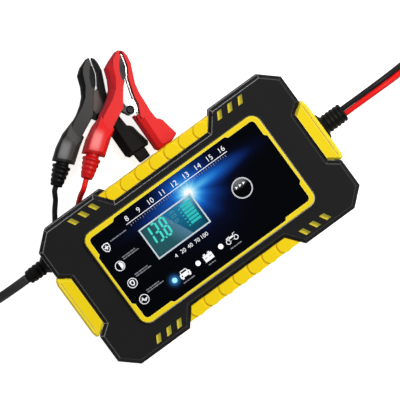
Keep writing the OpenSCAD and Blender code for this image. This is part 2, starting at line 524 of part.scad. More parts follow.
echo(red_length = run(red_line), black_length = run(black_line), rings = len(red_line) + len(black_line));
echo(plug_x = plug_x, plug_y = plug_y, plug_z = plug_z, turn_r = turn_r, turn_c = turn_c);
echo(mains_free = run(spline(mains_path, 3)), mains_end = run(spline(end_path, 3)), red_end = red_end,
  red_dir = red_dir, black_end = black_end, black_dir = black_dir);
module lead_red() color([0.8, 0.08, 0.07]) on_floor()
  skin(rings(red_line, wr, wr, 8, [1, 0, 0], red_dir));
module lead_black() color([0.07, 0.07, 0.07]) on_floor()
  skin(rings(black_line, wr, wr, 8, [1, 0, 0], black_dir));

// ---------- clamps ----------
// one clamp, drawn closed about its pivot; its halves part when the handles are squeezed
function rx(p, a) = [p[0], p[1] * cos(a) - p[2] * sin(a), p[1] * sin(a) + p[2] * cos(a)];
function ry(p, a) = [p[0] * cos(a) + p[2] * sin(a), p[1], -p[0] * sin(a) + p[2] * cos(a)];
function clamp_dir(r, p) = ry(rx(p, r[0]), r[1]);
function clamp_pt(at, r, p) = at + clamp_dir(r, p);
module at_red() translate(red_at) rotate([red_roll[0], red_roll[1], 0]) children();
module at_black() translate(black_at) rotate([black_roll[0], black_roll[1], 0]) children();
echo(red_pin = clamp_pt(red_at, red_roll, [pin[0], pin[1], 0]),
  black_pin = clamp_pt(black_at, black_roll, [pin[0], pin[1], 0]));
echo(red_axis = clamp_dir(red_roll, [0, 0, 1]), black_axis = clamp_dir(black_roll, [0, 0, 1]));

left_line = [[12.5, 26], [10, 26.2], [4.6, 24.2], [1.1, 21.4], [-1, 15.7], [-3.7, 11], [-7.4, 7.6],
  [-12, 4.6], [-16.5, 2.6], [-21, -1.2], [-17.5, -7.6], [-10, -4], [-4.2, -1.4], [-1.6, 2.6], [2.4, 7.6],
  [5, 10.3], [4.3, 12], [6.1, 16], [8.9, 20], [11.1, 22], [12, 24.4]];
left_top = [[12.05, 25.5], [10.3, 25.4], [6.6, 23.3], [4.5, 20.4], [1.7, 14.2], [-2, 9.3], [-6.6, 6],
  [-11.8, 3.5], [-16.6, 1.1], [-20, -2], [-17.2, -6.9], [-10.2, -3.4], [-4.6, -0.9], [-2.1, 3], [1.9, 8],
  [4.3, 10.4], [3.7, 12.1], [5.6, 16.3], [8.4, 20.4], [10.6, 22.4], [11.5, 24.5]];
left_room = [[10.3, 23.8], [5.3, 22.4], [3.6, 20.6], [1.2, 14.9], [-1.7, 9.6], [-6.1, 5.9], [-11.4, 2.9],
  [-15.5, 1.3], [-15.5, -8.2], [-9.4, -5.2], [-3.2, -2.4], [0, 2], [4, 6.9], [7, 10], [7, 13], [8, 16],
  [10.4, 19.6], [12.6, 21.4], [12.6, 23.8]];
left_steel = [[10.2, 23.5], [5.5, 22.1], [3.9, 20.4], [1.5, 14.8], [-1.4, 9.4], [-5.9, 5.6], [-11.2, 2.6],
  [-14.5, 1.3], [-14.5, -5.8], [-9.9, -3.8], [-4.4, -1.1], [-1.9, 2.8], [2.2, 7.8], [5.2, 10.3], [4.7, 12],
  [6.4, 15.9], [9.2, 19.8], [10.9, 21.6], [11.75, 23.5]];
left_hollow = [[9.9, 22.5], [6, 21.3], [4.7, 19.9], [2.3, 14.4], [-0.7, 8.9], [-5.4, 4.9], [-10.9, 1.8],
  [-15.5, -0.2], [-15.5, -8], [-9, -5.5], [-3, -3], [0.4, 2], [4.4, 6.9], [6.4, 10.2], [6.4, 12.2],
  [7.6, 15.5], [10.3, 19.2], [11.9, 21.2], [12.2, 22.5]];
right_line = [[13.2, 25.4], [12.5, 24.2], [12, 21.3], [10.6, 16.2], [8.3, 12.6], [7, 10.9], [5.8, 7.6],
  [4.5, 3.6], [3.4, 0], [2.8, -4], [1, -7.5], [-0.4, -10], [-0.4, -12.5], [6.8, -12.5], [7.4, -7], [7.9, 0],
  [9.1, 5.5], [11.3, 10.2], [14, 16], [14.8, 20.5], [14.6, 23.6]];
right_room = [[13.3, 23.6], [11, 23.6], [10.4, 21], [9, 16.5], [6.6, 13], [5, 10.5], [3.6, 6.8], [2.6, 3],
  [1.6, -1], [1.2, -4.4], [-1.6, -8.4], [-2.4, -11.4], [5.5, -11.4], [6, -7], [6.5, 0], [7.7, 5.8],
  [9.9, 10.8], [12.6, 16.4], [13.5, 20.7]];
right_steel = [[12.9, 23.4], [12.2, 23.4], [11.7, 21.4], [10.3, 16.4], [8, 12.8], [6.7, 11], [5.5, 7.7],
  [4.2, 3.7], [3.1, 0], [2.5, -4], [0.8, -7.4], [-0.2, -9.2], [-0.2, -11.2], [5.3, -11.2], [5.8, -7],
  [6.3, 0], [7.5, 5.8], [9.7, 10.9], [12.4, 16.5], [13.2, 20.7]];
right_hollow = [[12.3, 22.6], [11, 22.6], [10.2, 20.6], [8.9, 16.2], [6.5, 12.8], [5, 10.5], [3.8, 7],
  [2.6, 3.4], [1.6, 0], [1.2, -4], [-1.2, -8], [-1.2, -12], [4.5, -12], [5, -7], [5.5, 0], [6.7, 6],
  [8.9, 11.1], [11.6, 16.8], [12.4, 20.8]];
boot_line = [[-15.5, 3.2], [-24, 0.8], [-31.3, -3.1], [-37.3, -7.7], [-28.7, -16.9], [-20.5, -10.9],
  [-14.5, -7.2]];
boot_top = [[-22.5, -1.2], [-25.6, -2.4], [-30.4, -5.2], [-34, -8.2], [-28.9, -13.6], [-23.4, -9.9],
  [-21.6, -8.9]];
grip_line = [[-2.9, -7.8], [-3.4, -29.6], [-1.9, -31.6], [10.6, -31.8], [11.6, -30], [11, -26.4], [10.3, -23],
  [9.7, -19], [8.7, -17.5], [7.3, -16.3], [6.9, -9]];
grip_top = [[1.7, -10.2], [1, -28.8], [1.8, -30], [9.8, -30.6], [10.5, -29.2], [10, -26.2], [9.4, -23.2],
  [8.8, -19.4], [7.9, -18.2], [6.6, -17], [6.1, -10.4]];
function half_t(v) = (tip_t + (neck_t - tip_t) * (25 - v) / 34) / 2;
function level(p, c, f) = [for (q = inset(p, c)) [q[0], q[1], f * half_t(q[1])]];
module crowned(p) loft([level(p, 0.6, -1), level(p, 0, -0.3), level(p, 0, 0.3), level(p, 0.6, 1)]);
function between(p, q, f) = [for (i = [0:len(p) - 1]) p[i] + f * (q[i] - p[i])];
// an outline that slopes in to a smaller one on both faces
module ridged(p, q) loft([level(q, 0, -1), level(between(p, q, 0.35), 0, -0.72), level(p, 0, -0.35),
  level(p, 0, 0.35), level(between(p, q, 0.35), 0, 0.72), level(q, 0, 1)]);
module sloped(p, q, t) loft([for (k = [[1, -1], [0.35, -0.72], [0, -0.3], [0, 0.3], [0.35, 0.72], [1, 1]])
  lift(between(p, q, k[0]), k[1] * t / 2)]);
module rounded(p, t, c) loft([lift(inset(p, c), -t / 2), lift(inset(p, c * 0.25), -t / 2 + c * 0.75),
  lift(p, -t * 0.1), lift(p, t * 0.1), lift(inset(p, c * 0.25), t / 2 - c * 0.75), lift(inset(p, c), t / 2)]);
module fixed_cover(side) difference() {
  union() {
    ridged([for (i = [0:len(left_line) - 1]) left_line[i] + (i > 2 && i < 9 ? side : 0) * [-0.85, 0.53]], left_top);
    sloped(boot_line, boot_top, boot_t);
  }
  slab(left_room, -ear1 - 0.1, ear1 + 0.1);
  translate(sleeve_at) rotate([0, 0, sleeve_a]) rotate([0, 90, 0]) translate([0, 0, -6])
    cylinder(h = 12, r = 3.4);
}
module moving_cover(end, reach) difference() {
  union() {
    crowned(right_line);
    sloped(grip_line, grip_top, grip_t);
    rounded([[0.6, -30.6], [0.9, 0.5 - end], [1.6, -end], [7.4, -end], [8, 0.5 - end], [8.2, -30.6]],
      6, 1);
  }
  slab(right_room, -ear1 - 0.1, ear1 + 0.1);
  rod(pin[0], pin[1], -ear1 - 0.1, ear1 + 0.1, 3.8);
  translate(pin) difference() {
    cylinder(h = 20, r = 60, center = true);
    cylinder(h = 30, r = reach, center = true, $fn = 96);
  }
  slab([[1.4, -11], [1.4, -28], [5.6, -28], [5.6, -11]], -nest1 - 0.1, nest1 + 0.1);
}
module two_ears(p, z0) for (s = [0, 1]) mirror([0, 0, s]) translate([0, 0, z0])
  linear_extrude(steel_t) difference() {
    union() {
      translate(pin) circle(2.6, $fn = 24);
      polygon(p);
    }
    translate(pin) circle(rivet_r + 0.05);
  }
module fixed_jaw() {
  difference() {
    slab(left_steel, -ear1, ear1);
    slab(left_hollow, -ear0, ear0);
  }
  // the toothed plate between the jaws
  slab([[0.7, 12.4], [5.4, 10.5], [6.6, 11.5], [7.7, 13], [9.9, 16.5], [11.2, 21], [10.9, 21.9], [6, 21.2],
    [4.2, 20], [1.7, 14.2]], -0.5, 0.5);
  two_ears([[-2.6, -1.7], [-3, 4.6], [-9, 2], [-6.4, -1.6], [-4.5, -5]], ear0);
}
module moving_jaw(web) {
  difference() {
    slab(right_steel, -nest1, nest1);
    slab(right_hollow, -nest0, nest0);
  }
  box(2, 5, -27, -10, -nest1 + 0.1, nest1 - 0.1);
  two_ears(concat(web, [[4.2, 0], [4.6, -8.4], [-1.4, -6.6], [-2.4, -1.7]]), nest0);
}
module rivet() translate(pin) {
  rod(0, 0, -ear1 - 0.3, ear1 + 0.3, rivet_r);
  for (s = [0, 180]) rotate([s, 0, 0]) translate([0, 0, ear1 + 0.05]) cylinder(h = 0.7, r1 = 2.2, r2 = 1.6);
}
module spring() translate(pin) {
  q = [for (i = [0:16]) let (a = 70 - i * 25) [1.75 * cos(a), 1.75 * sin(a), (i - 8) * 0.05]];
  skin(rings(concat([[-7.9, 4.6, -0.4], [-3.4, 3, -0.4]], q, [[2.9, -1.6, 0.4], [3.9, -4.2, 0.4], [4.1, -5.2, 0.4]]),
    0.3, 0.3, 6, [0.94, -0.34, 0], [0.2, -1, 0]));
}
module sleeve() translate(sleeve_at) rotate([0, 0, sleeve_a]) rotate([0, 90, 0])
  rotate_extrude($fn = 40) polygon(concat([[0, -4.9], [3.3, -4.9], [3.3, 1.6]],
    [for (k = [0:3]) each [[4.9 - k * 0.42, 1.8 + k * 2.6], [4.9 - k * 0.42, 3 + k * 2.6],
      [3.8 - k * 0.26, 3.3 + k * 2.6], [3.8 - k * 0.26, 4.1 + k * 2.6]]], [[3.3, 12.4], [3, 13], [0, 13]]));
module black_fixed_cover() color([0.1, 0.1, 0.1]) at_black() fixed_cover(0);
module black_moving_cover() color([0.1, 0.1, 0.1]) at_black() moving_cover(37.4, 40);
module black_fixed_jaw() color([0.6, 0.58, 0.55]) at_black() fixed_jaw();
module black_moving_jaw() color([0.6, 0.58, 0.55]) at_black() moving_jaw([[-2.6, 1.4], [3.6, 9.4], [6, 9.6]]);
module black_rivet() color([0.7, 0.7, 0.7]) at_black() rivet();
module black_spring() color([0.3, 0.3, 0.3]) at_black() spring();
module black_sleeve() color([0.08, 0.08, 0.08]) at_black() sleeve();
module red_fixed_cover() color([0.85, 0.08, 0.07]) at_red() fixed_cover(1.2);
module red_moving_cover() color([0.85, 0.08, 0.07]) at_red() moving_cover(32.4, 28.4);
module red_fixed_jaw() color([0.6, 0.58, 0.55]) at_red() fixed_jaw();
module red_moving_jaw() color([0.6, 0.58, 0.55]) at_red() moving_jaw([]);
module red_rivet() color([0.7, 0.7, 0.7]) at_red() rivet();
module red_spring() color([0.3, 0.3, 0.3]) at_red() spring();
module red_sleeve() color([0.8, 0.07, 0.06]) at_red() sleeve();

rear_shell();
front_shell();
rear_guard();
front_guard();
case_screws();
feet();
panel_overlay();
lcd_lens();
lcd_glass();
lcd_backlight();
button_ring();
mode_button();
switch_body();
switch_plunger();
led_lit();
led_dark();
display_board();
main_board();
board_screws();
transformer_core();
transformer_coil();
heatsink();
power_devices();
bulk_capacitors();
small_capacitors();
choke();
fuse();
terminal_blocks();
board_link();
mains_tails();
output_tails();
mains_relief();
mains_cord();
mains_coil();
mains_cord_end();
plug_body();
plug_pins();
output_relief();
lead_black();
lead_red();
black_fixed_cover();
black_moving_cover();
black_fixed_jaw();
black_moving_jaw();
black_rivet();
black_spring();
black_sleeve();
red_fixed_cover();
red_moving_cover();
red_fixed_jaw();
red_moving_jaw();
red_rivet();
red_spring();
red_sleeve();
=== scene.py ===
import json
import math

import bmesh
import bpy
from mathutils import Matrix, Vector

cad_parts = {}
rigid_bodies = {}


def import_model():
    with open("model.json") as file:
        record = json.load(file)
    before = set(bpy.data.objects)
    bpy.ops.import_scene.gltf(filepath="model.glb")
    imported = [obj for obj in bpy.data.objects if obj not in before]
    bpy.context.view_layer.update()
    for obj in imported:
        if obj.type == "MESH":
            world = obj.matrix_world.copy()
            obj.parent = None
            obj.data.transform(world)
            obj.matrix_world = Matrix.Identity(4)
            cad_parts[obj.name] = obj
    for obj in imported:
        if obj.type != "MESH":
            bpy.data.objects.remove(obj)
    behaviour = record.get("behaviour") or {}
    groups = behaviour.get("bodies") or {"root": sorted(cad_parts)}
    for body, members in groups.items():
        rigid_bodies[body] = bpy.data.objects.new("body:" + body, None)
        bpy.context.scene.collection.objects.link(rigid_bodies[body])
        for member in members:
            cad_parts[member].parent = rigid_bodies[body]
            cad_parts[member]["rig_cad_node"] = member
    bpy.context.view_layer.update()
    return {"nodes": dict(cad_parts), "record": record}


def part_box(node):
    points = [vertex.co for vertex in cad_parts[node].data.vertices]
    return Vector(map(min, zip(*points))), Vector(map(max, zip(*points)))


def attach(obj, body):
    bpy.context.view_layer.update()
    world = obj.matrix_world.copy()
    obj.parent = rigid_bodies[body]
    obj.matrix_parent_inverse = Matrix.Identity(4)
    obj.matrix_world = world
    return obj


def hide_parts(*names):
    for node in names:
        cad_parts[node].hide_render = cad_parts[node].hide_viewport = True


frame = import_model()
nodes = frame["nodes"]
scene = bpy.context.scene

# the charger's own levels and places, in metres, read from the frame
MM = 0.001
PANEL_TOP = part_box("panel_overlay")[1].z
CELL_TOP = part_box("lcd_glass")[1].z
BUTTON_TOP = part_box("mode_button")[1].z
BUTTON = (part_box("mode_button")[0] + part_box("mode_button")[1]) / 2


def mm(*values):
    """A point given in millimetres, in metres."""
    return Vector(values) * MM


# ---------- camera ----------
DISTANCE = 1.5
SEEN_WIDTH = 0.2138
TURN = math.radians(36.2)
LEAN = math.radians(3)
SENSOR = 36
AIM = mm(6.3, 8.24, 47)


def make_camera():
    """Looks down on the panel from a little beyond the clamps, with the case lying aslant."""
    data = bpy.data.cameras.new("camera")
    camera = bpy.data.objects.new("camera", data)
    scene.collection.objects.link(camera)
    back = Vector((0, math.sin(LEAN), math.cos(LEAN)))
    right = Vector((math.cos(TURN), -math.sin(TURN), 0))
    right = (right - back * right.dot(back)).normalized()
    up = back.cross(right)
    turned = Matrix((right, up, back)).transposed().to_4x4()
    camera.matrix_world = Matrix.Translation(AIM + back * DISTANCE) @ turned
    data.sensor_width = SENSOR
    data.lens = SENSOR * DISTANCE / SEEN_WIDTH
    data.clip_end = 20
    scene.camera = camera


make_camera()


# ---------- finishes ----------
def linear(red, green, blue):
    """A colour given as 0 to 255 on a screen, as Blender's linear colour."""
    levels = []
    for value in (red, green, blue):
        share = value / 255
        levels.append(share / 12.92 if share < 0.0404 else ((share + 0.055) / 1.055) ** 2.4)
    return (*levels, 1)


def add(tree, kind, **settings):
    """A shader node with its settings."""
    node = tree.nodes.new(kind)
    for key, value in settings.items():
        setattr(node, key, value)
    return node


def plug(tree, target, value):
    """Joins a socket to a node socket, or sets it to a plain value."""
    if isinstance(value, bpy.types.NodeSocket):
        tree.links.new(value, target)
    else:
        target.default_value = value


def calc(tree, operation, *values, clamp=False):
    """A sum done by a Math node."""
    node = add(tree, "ShaderNodeMath", operation=operation, use_clamp=clamp)
    for socket, value in zip(node.inputs, values):
        plug(tree, socket, value)
    return node.outputs[0]


def squared(tree, value):
    """A value times itself."""
    return calc(tree, "MULTIPLY", value, value)


def bell(tree, squares, width):
    """A soft round fall-off, 1 at nothing, from a squared distance."""
    return calc(tree, "POWER", math.e, calc(tree, "DIVIDE", squares, -width * width))


def within(tree, value, low, high):
    """1 where a value lies between two others, and 0 elsewhere."""
    off = calc(tree, "ABSOLUTE", calc(tree, "SUBTRACT", value, (low + high) / 2))
    return calc(tree, "LESS_THAN", off, (high - low) / 2)


def dot(tree, first, second):
    """How much two vectors have of each other's way."""
    node = add(tree, "ShaderNodeVectorMath", operation="DOT_PRODUCT")
    plug(tree, node.inputs[0], first)
    plug(tree, node.inputs[1], second)
    return node.outputs["Value"]


def split(tree, vector):
    """A vector's X, Y and Z."""
    node = add(tree, "ShaderNodeSeparateXYZ")
    plug(tree, node.inputs[0], vector)
    return node.outputs["X"], node.outputs["Y"], node.outputs["Z"]


def place_of(tree):
    """Where a point of the surface is on the charger, in metres."""
    return add(tree, "ShaderNodeTexCoord").outputs["Object"]


def normal_of(tree):
    """The way a point of the surface faces."""
    return add(tree, "ShaderNodeNewGeometry").outputs["Normal"]


def off_point(tree, x, y, point):
    """How far a place is to the right of a point and above it, in millimetres."""
    return [calc(tree, "MULTIPLY_ADD", value, 1 / MM, -start) for value, start in zip((x, y), point)]


def blend_colour(tree, share, first, second):
    """A mix of two colours."""
    node = add(tree, "ShaderNodeMix", data_type="RGBA")
    plug(tree, node.inputs["Factor"], share)
    plug(tree, node.inputs[6], first)
    plug(tree, node.inputs[7], second)
    return node.outputs[2]


def ramp(tree, value, stops):
    """Colours along a value, as (place, colour) stops."""
    node = add(tree, "ShaderNodeValToRGB")
    plug(tree, node.inputs[0], value)
    band = node.color_ramp
    while len(band.elements) < len(stops):
        band.elements.new(1)
    for element, (place, colour) in zip(band.elements, stops):
        element.position = place
        element.color = colour
    return node.outputs[0]


def new_group(name, inputs, outputs):
    """A node group with named sockets: (name, kind, default) for an input, (name, kind) for an output."""
    tree = bpy.data.node_groups.new(name, "ShaderNodeTree")
    for label, kind, default in inputs:
        socket = tree.interface.new_socket(name=label, in_out="INPUT", socket_type="NodeSocket" + kind)
        socket.default_value = default
    for label, kind in outputs:
        tree.interface.new_socket(name=label, in_out="OUTPUT", socket_type="NodeSocket" + kind)
    return tree, add(tree, "NodeGroupInput"), add(tree, "NodeGroupOutput")


PATCH_CONTRAST, PATCH_FROM = 1.6, -0.45
EDGE_SHARPNESS = 12
LIT_SIDE = (-0.5, 0.86, 0)
LIT_SIDE_GAIN, LIT_RISE_GAIN = 2, 3


def make_moulded_group():
    """Moulded surface: broad patches of shade, a fine grain, and an uneven polish."""
    tree, given, made = new_group("moulded_surface", [
        ("Colour", "Color", (0.5, 0.5, 0.5, 1)), ("Shade", "Color", (0.4, 0.4, 0.4, 1)),
        ("Patch Scale", "Float", 40.0), ("Grain Scale", "Float", 2500.0), ("Roughness", "Float", 0.4),
        ("Spread", "Float", 0.1)], [("Colour", "Color"), ("Roughness", "Float"), ("Height", "Float")])
    place = place_of(tree)
    patches = add(tree, "ShaderNodeTexNoise")
    grain = add(tree, "ShaderNodeTexNoise")
    for noise, label in ((patches, "Patch Scale"), (grain, "Grain Scale")):
        plug(tree, noise.inputs["Vector"], place)
        plug(tree, noise.inputs["Scale"], given.outputs[label])
        noise.inputs["Detail"].default_value = 3
    shade = calc(tree, "MULTIPLY_ADD", patches.outputs["Fac"], PATCH_CONTRAST, PATCH_FROM, clamp=True)
    plug(tree, made.inputs["Colour"],
         blend_colour(tree, shade, given.outputs["Colour"], given.outputs["Shade"]))
    off_even = calc(tree, "SUBTRACT", patches.outputs["Fac"], 0.5)
    uneven = calc(tree, "MULTIPLY", off_even, given.outputs["Spread"])
    plug(tree, made.inputs["Roughness"], calc(tree, "ADD", given.outputs["Roughness"], uneven))
    plug(tree, made.inputs["Height"], grain.outputs["Fac"])
    return tree


def make_edge_group():
    """A mask of edges for painted highlights: 1 on those that rise towards the lit side, Away on all
    others, 0 on open faces.
    """
    tree, given, made = new_group("edge_mask", [
        ("Width", "Float", 0.0006), ("Side", "Vector", LIT_SIDE), ("Away", "Float", 1.0)],
        [("Mask", "Float")])
    soft = add(tree, "ShaderNodeBevel", samples=8)
    plug(tree, soft.inputs["Radius"], given.outputs["Width"])
    rounded = soft.outputs["Normal"]
    off = calc(tree, "SUBTRACT", 1, dot(tree, rounded, normal_of(tree)))
    sharp = calc(tree, "MULTIPLY", off, EDGE_SHARPNESS, clamp=True)
    towards = calc(tree, "MULTIPLY", dot(tree, rounded, given.outputs["Side"]), LIT_SIDE_GAIN, clamp=True)
    rising = calc(tree, "MULTIPLY", split(tree, rounded)[2], LIT_RISE_GAIN, clamp=True)
    strength = calc(tree, "MAXIMUM", calc(tree, "MULTIPLY", towards, rising), given.outputs["Away"])
    plug(tree, made.inputs["Mask"], calc(tree, "MULTIPLY", sharp, strength))
    return tree


def make_lines_group():
    """Fine lines across one axis, as of wound wire, brushed metal or a knurl."""
    tree, given, made = new_group("fine_lines", [
        ("Axis", "Vector", (0, 0, 1)), ("Pitch", "Float", 0.0005)], [("Height", "Float")])
    turns = calc(tree, "DIVIDE", dot(tree, place_of(tree), given.outputs["Axis"]), given.outputs["Pitch"])
    wave = calc(tree, "SINE", calc(tree, "MULTIPLY", turns, 2 * math.pi))
    plug(tree, made.inputs["Height"], calc(tree, "MULTIPLY_ADD", wave, 0.5, 0.5))
    return tree


MOULDED = make_moulded_group()
EDGES = make_edge_group()
LINES = make_lines_group()


def grouped(tree, group, **values):
    """A group placed in a material, with its own values; an underscore stands for a space."""
    node = add(tree, "ShaderNodeGroup", node_tree=group)
    for label, value in values.items():
        plug(tree, node.inputs[label.replace("_", " ")], value)
    return node


FINISHES = {}


def new_material(name, **values):
    """A material with a Principled shader, whose sockets are set by name. FINISHES keeps it."""
    material = FINISHES[name] = bpy.data.materials.new(name)
    material.use_nodes = True
    tree = material.node_tree
    tree.nodes.clear()
    shader = add(tree, "ShaderNodeBsdfPrincipled")
    plug(tree, add(tree, "ShaderNodeOutputMaterial").inputs["Surface"], shader.outputs[0])
    for label, value in values.items():
        shader.inputs[label.replace("_", " ")].default_value = value
    return material, tree, shader


def dress(tree, shader, colour, finish):
    """Joins a colour, and the uneven polish of a finish, to the shader."""
    plug(tree, shader.inputs["Base Color"], colour)
    plug(tree, shader.inputs["Roughness"], finish.outputs["Roughness"])


def bumped(tree, shader, height, distance):
    """Lets a height pattern raise the surface by a distance in metres."""
    bump = add(tree, "ShaderNodeBump")
    bump.inputs["Distance"].default_value = distance
    plug(tree, bump.inputs["Height"], height)
    plug(tree, shader.inputs["Normal"], bump.outputs["Normal"])


# bands of the case in millimetres: its slots, where its grips start, and how high its deck is
SLOTS_X = (38.0, 60.0)
SLOTS_Y = (36.0, 41.5)
GRIPS_FROM = 33.0
DECK_FROM = 38.0
GRIP_EDGE_CUT = 0.9
# painted shade: flanks that face this way, away from the key light, get a darker colour
SHADED_FLANK_WAY = (-0.807, 0.59, 0)
FLANK_GAIN, FLANK_FROM = 5, -0.3
HIGHLIGHT_SPOT_SHARE = 0.75


def case_zones(tree):
    """Masks for a point of the case: at its slots, on its two grips, and above its deck."""
    x, y, z = split(tree, place_of(tree))
    off_centre = calc(tree, "DIVIDE", calc(tree, "ABSOLUTE", x), MM)
    off_middle = calc(tree, "DIVIDE", calc(tree, "ABSOLUTE", y), MM)
    in_row, in_strip = within(tree, off_centre, *SLOTS_X), within(tree, off_middle, *SLOTS_Y)
    at_slots = calc(tree, "MULTIPLY", in_row, in_strip)
    on_grips = calc(tree, "SUBTRACT", off_middle, GRIPS_FROM, clamp=True)
    return at_slots, on_grips, calc(tree, "GREATER_THAN", z, DECK_FROM * MM)


def painted_highlight_spot(tree, centre, way, long_reach, short_reach):
    """A mask for a painted highlight: 1 in the middle of a long soft spot."""
    offset = add(tree, "ShaderNodeVectorMath", operation="SUBTRACT")
    plug(tree, offset.inputs[0], place_of(tree))
    offset.inputs[1].default_value = centre * MM
    parts = []
    for direction, reach in ((way, long_reach), (Vector((-way.y, way.x, 0)), short_reach)):
        parts.append(squared(tree, dot(tree, offset.outputs[0], direction / (reach * MM))))
    return bell(tree, calc(tree, "ADD", squared(tree, parts[0]), squared(tree, parts[1])), 1)


def moulded(name, colour, shade, roughness, patch=35, grain=2500, depth=0.00003, edge_highlight=None,
            edge_highlight_share=0.35, away=1.0, edge_highlight_width=0.4, on_case=False, grips=None, painted_slot_glow=None,
            painted_flank_shade=None, highlight_spot=None, shine=0.5):
    """Moulded plastic, rubber or film.

    It has painted highlights on its edges, and painted shade on flanks that face away from the light. On
    the case the slots have no painted edge highlights, the grips have a colour of their own and weaker
    highlights, and the deck under the slots has a painted glow. A painted highlight spot is its place, way
    and two reaches in millimetres, and its colour.
    """
    material, tree, shader = new_material(name, Specular_IOR_Level=shine)
    finish = grouped(tree, MOULDED, Colour=colour, Shade=shade, Patch_Scale=patch, Grain_Scale=grain,
                     Roughness=roughness, Spread=0.08)
    surface, share = finish.outputs["Colour"], edge_highlight_share
    # painted shade on the flanks that face away from the light
    if painted_flank_shade:
        shaded_side_facing = dot(tree, normal_of(tree), SHADED_FLANK_WAY)
        turned = calc(tree, "MULTIPLY_ADD", shaded_side_facing, FLANK_GAIN, FLANK_FROM, clamp=True)
        surface = blend_colour(tree, turned, surface, painted_flank_shade)
    if on_case:
        at_slots, on_grips, above_deck = case_zones(tree)
        share = calc(tree, "MULTIPLY_ADD", at_slots, -edge_highlight_share, edge_highlight_share)
    if grips:
        surface = blend_colour(tree, on_grips, surface, grips)
        share = calc(tree, "MULTIPLY_ADD", on_grips, -GRIP_EDGE_CUT * edge_highlight_share, share, clamp=True)
    # painted highlights: edges blend towards a paler colour, most on those that face the light
    if edge_highlight:
        lines = grouped(tree, EDGES, Width=edge_highlight_width * MM, Away=away)
        surface = blend_colour(tree, calc(tree, "MULTIPLY", lines.outputs["Mask"], share), surface, edge_highlight)
    # painted light: the deck seen through the slots glows a little, standing in for light that reaches it
    if painted_slot_glow:
        seen = calc(tree, "MULTIPLY", at_slots, above_deck)
        shader.inputs["Emission Strength"].default_value = 1
        plug(tree, shader.inputs["Emission Color"], blend_colour(tree, seen, (0, 0, 0, 1), painted_slot_glow))
    # painted highlight: a paler soft spot on the boot, where it would catch the light
    if highlight_spot:
        *shape, tint = highlight_spot
        highlit = calc(tree, "MULTIPLY", painted_highlight_spot(tree, *shape), HIGHLIGHT_SPOT_SHARE)
        surface = blend_colour(tree, highlit, surface, tint)
    dress(tree, shader, surface, finish)
    bumped(tree, shader, finish.outputs["Height"], depth)
    return material


def metal(name, colour, shade, roughness, axis=(0, 0, 1), pitch=0.0004, depth=0.000004):
    """Bare or plated metal with fine tool lines."""
    material, tree, shader = new_material(name, Metallic=1.0)
    finish = grouped(tree, MOULDED, Colour=colour, Shade=shade, Patch_Scale=120, Grain_Scale=900,
                     Roughness=roughness, Spread=0.2)
    dress(tree, shader, finish.outputs["Colour"], finish)
    bumped(tree, shader, grouped(tree, LINES, Axis=axis, Pitch=pitch).outputs["Height"], depth)
    return material


def lit(name, glow, strength, surface, roughness=0.35):
    """A lit or luminous print: its glow shows by its own light, over the colour of its surface."""
    material, tree, shader = new_material(name, Emission_Strength=strength)
    finish = grouped(tree, MOULDED, Colour=surface, Shade=surface, Patch_Scale=200, Grain_Scale=1500,
                     Roughness=roughness, Spread=0.05)
    dress(tree, shader, finish.outputs["Colour"], finish)
    dimmer = tuple(0.9 * v for v in glow[:3]) + (1,)
    light = grouped(tree, MOULDED, Colour=glow, Shade=dimmer, Patch_Scale=150)
    plug(tree, shader.inputs["Emission Color"], light.outputs["Colour"])
    return material


def as_seen(red, green, blue, gain):
    """The colour to give a lit surface that is to look like this one under the lights and its own glow."""
    return tuple(v / gain for v in linear(red, green, blue)[:3]) + (1,)


# the burst of light printed beside the display: each part's reach in millimetres, and its strength
BURST_AT = (3.5, 15.0)
HALO, HAZE, CORE, RAYS = (8.5, 0.56), (17, 0.1), (3.6, 0.45), (14, 0.06)
STREAK_RIGHT, STREAK_LEFT = (24, 0.44), (25, 0.18)
STREAK_THICK, STREAK_TILT, STREAK_ABOVE = 3.6, 0.02, 0.7
RAY_COUNT, RAY_SHARPNESS = 5.5, 3
PANEL_GLOW, PANEL_GAIN = 0.35, 1.4
BURST_STOPS = [(place, as_seen(*colour, PANEL_GAIN)) for place, colour in (
    (0.0, (4, 5, 9)), (0.022, (6, 12, 38)), (0.07, (11, 40, 104)), (0.16, (17, 68, 148)),
    (0.25, (21, 92, 186)), (0.38, (42, 130, 216)), (0.56, (92, 186, 238)), (0.88, (190, 242, 255)),
    (1.0, (255, 255, 255)))]
# the blue light that the lit lamp throws on the film round it
LAMP_AT = (-30, -18.5)
LAMP = (2.1, 0.75)
LAMP_TINT = (0.05, 0.28, 0.75, 1)


def glow_part(tree, squares, part):
    """One part of a glow, from a squared distance and its reach and strength."""
    reach, strength = part
    return calc(tree, "MULTIPLY", bell(tree, squares, reach), strength)


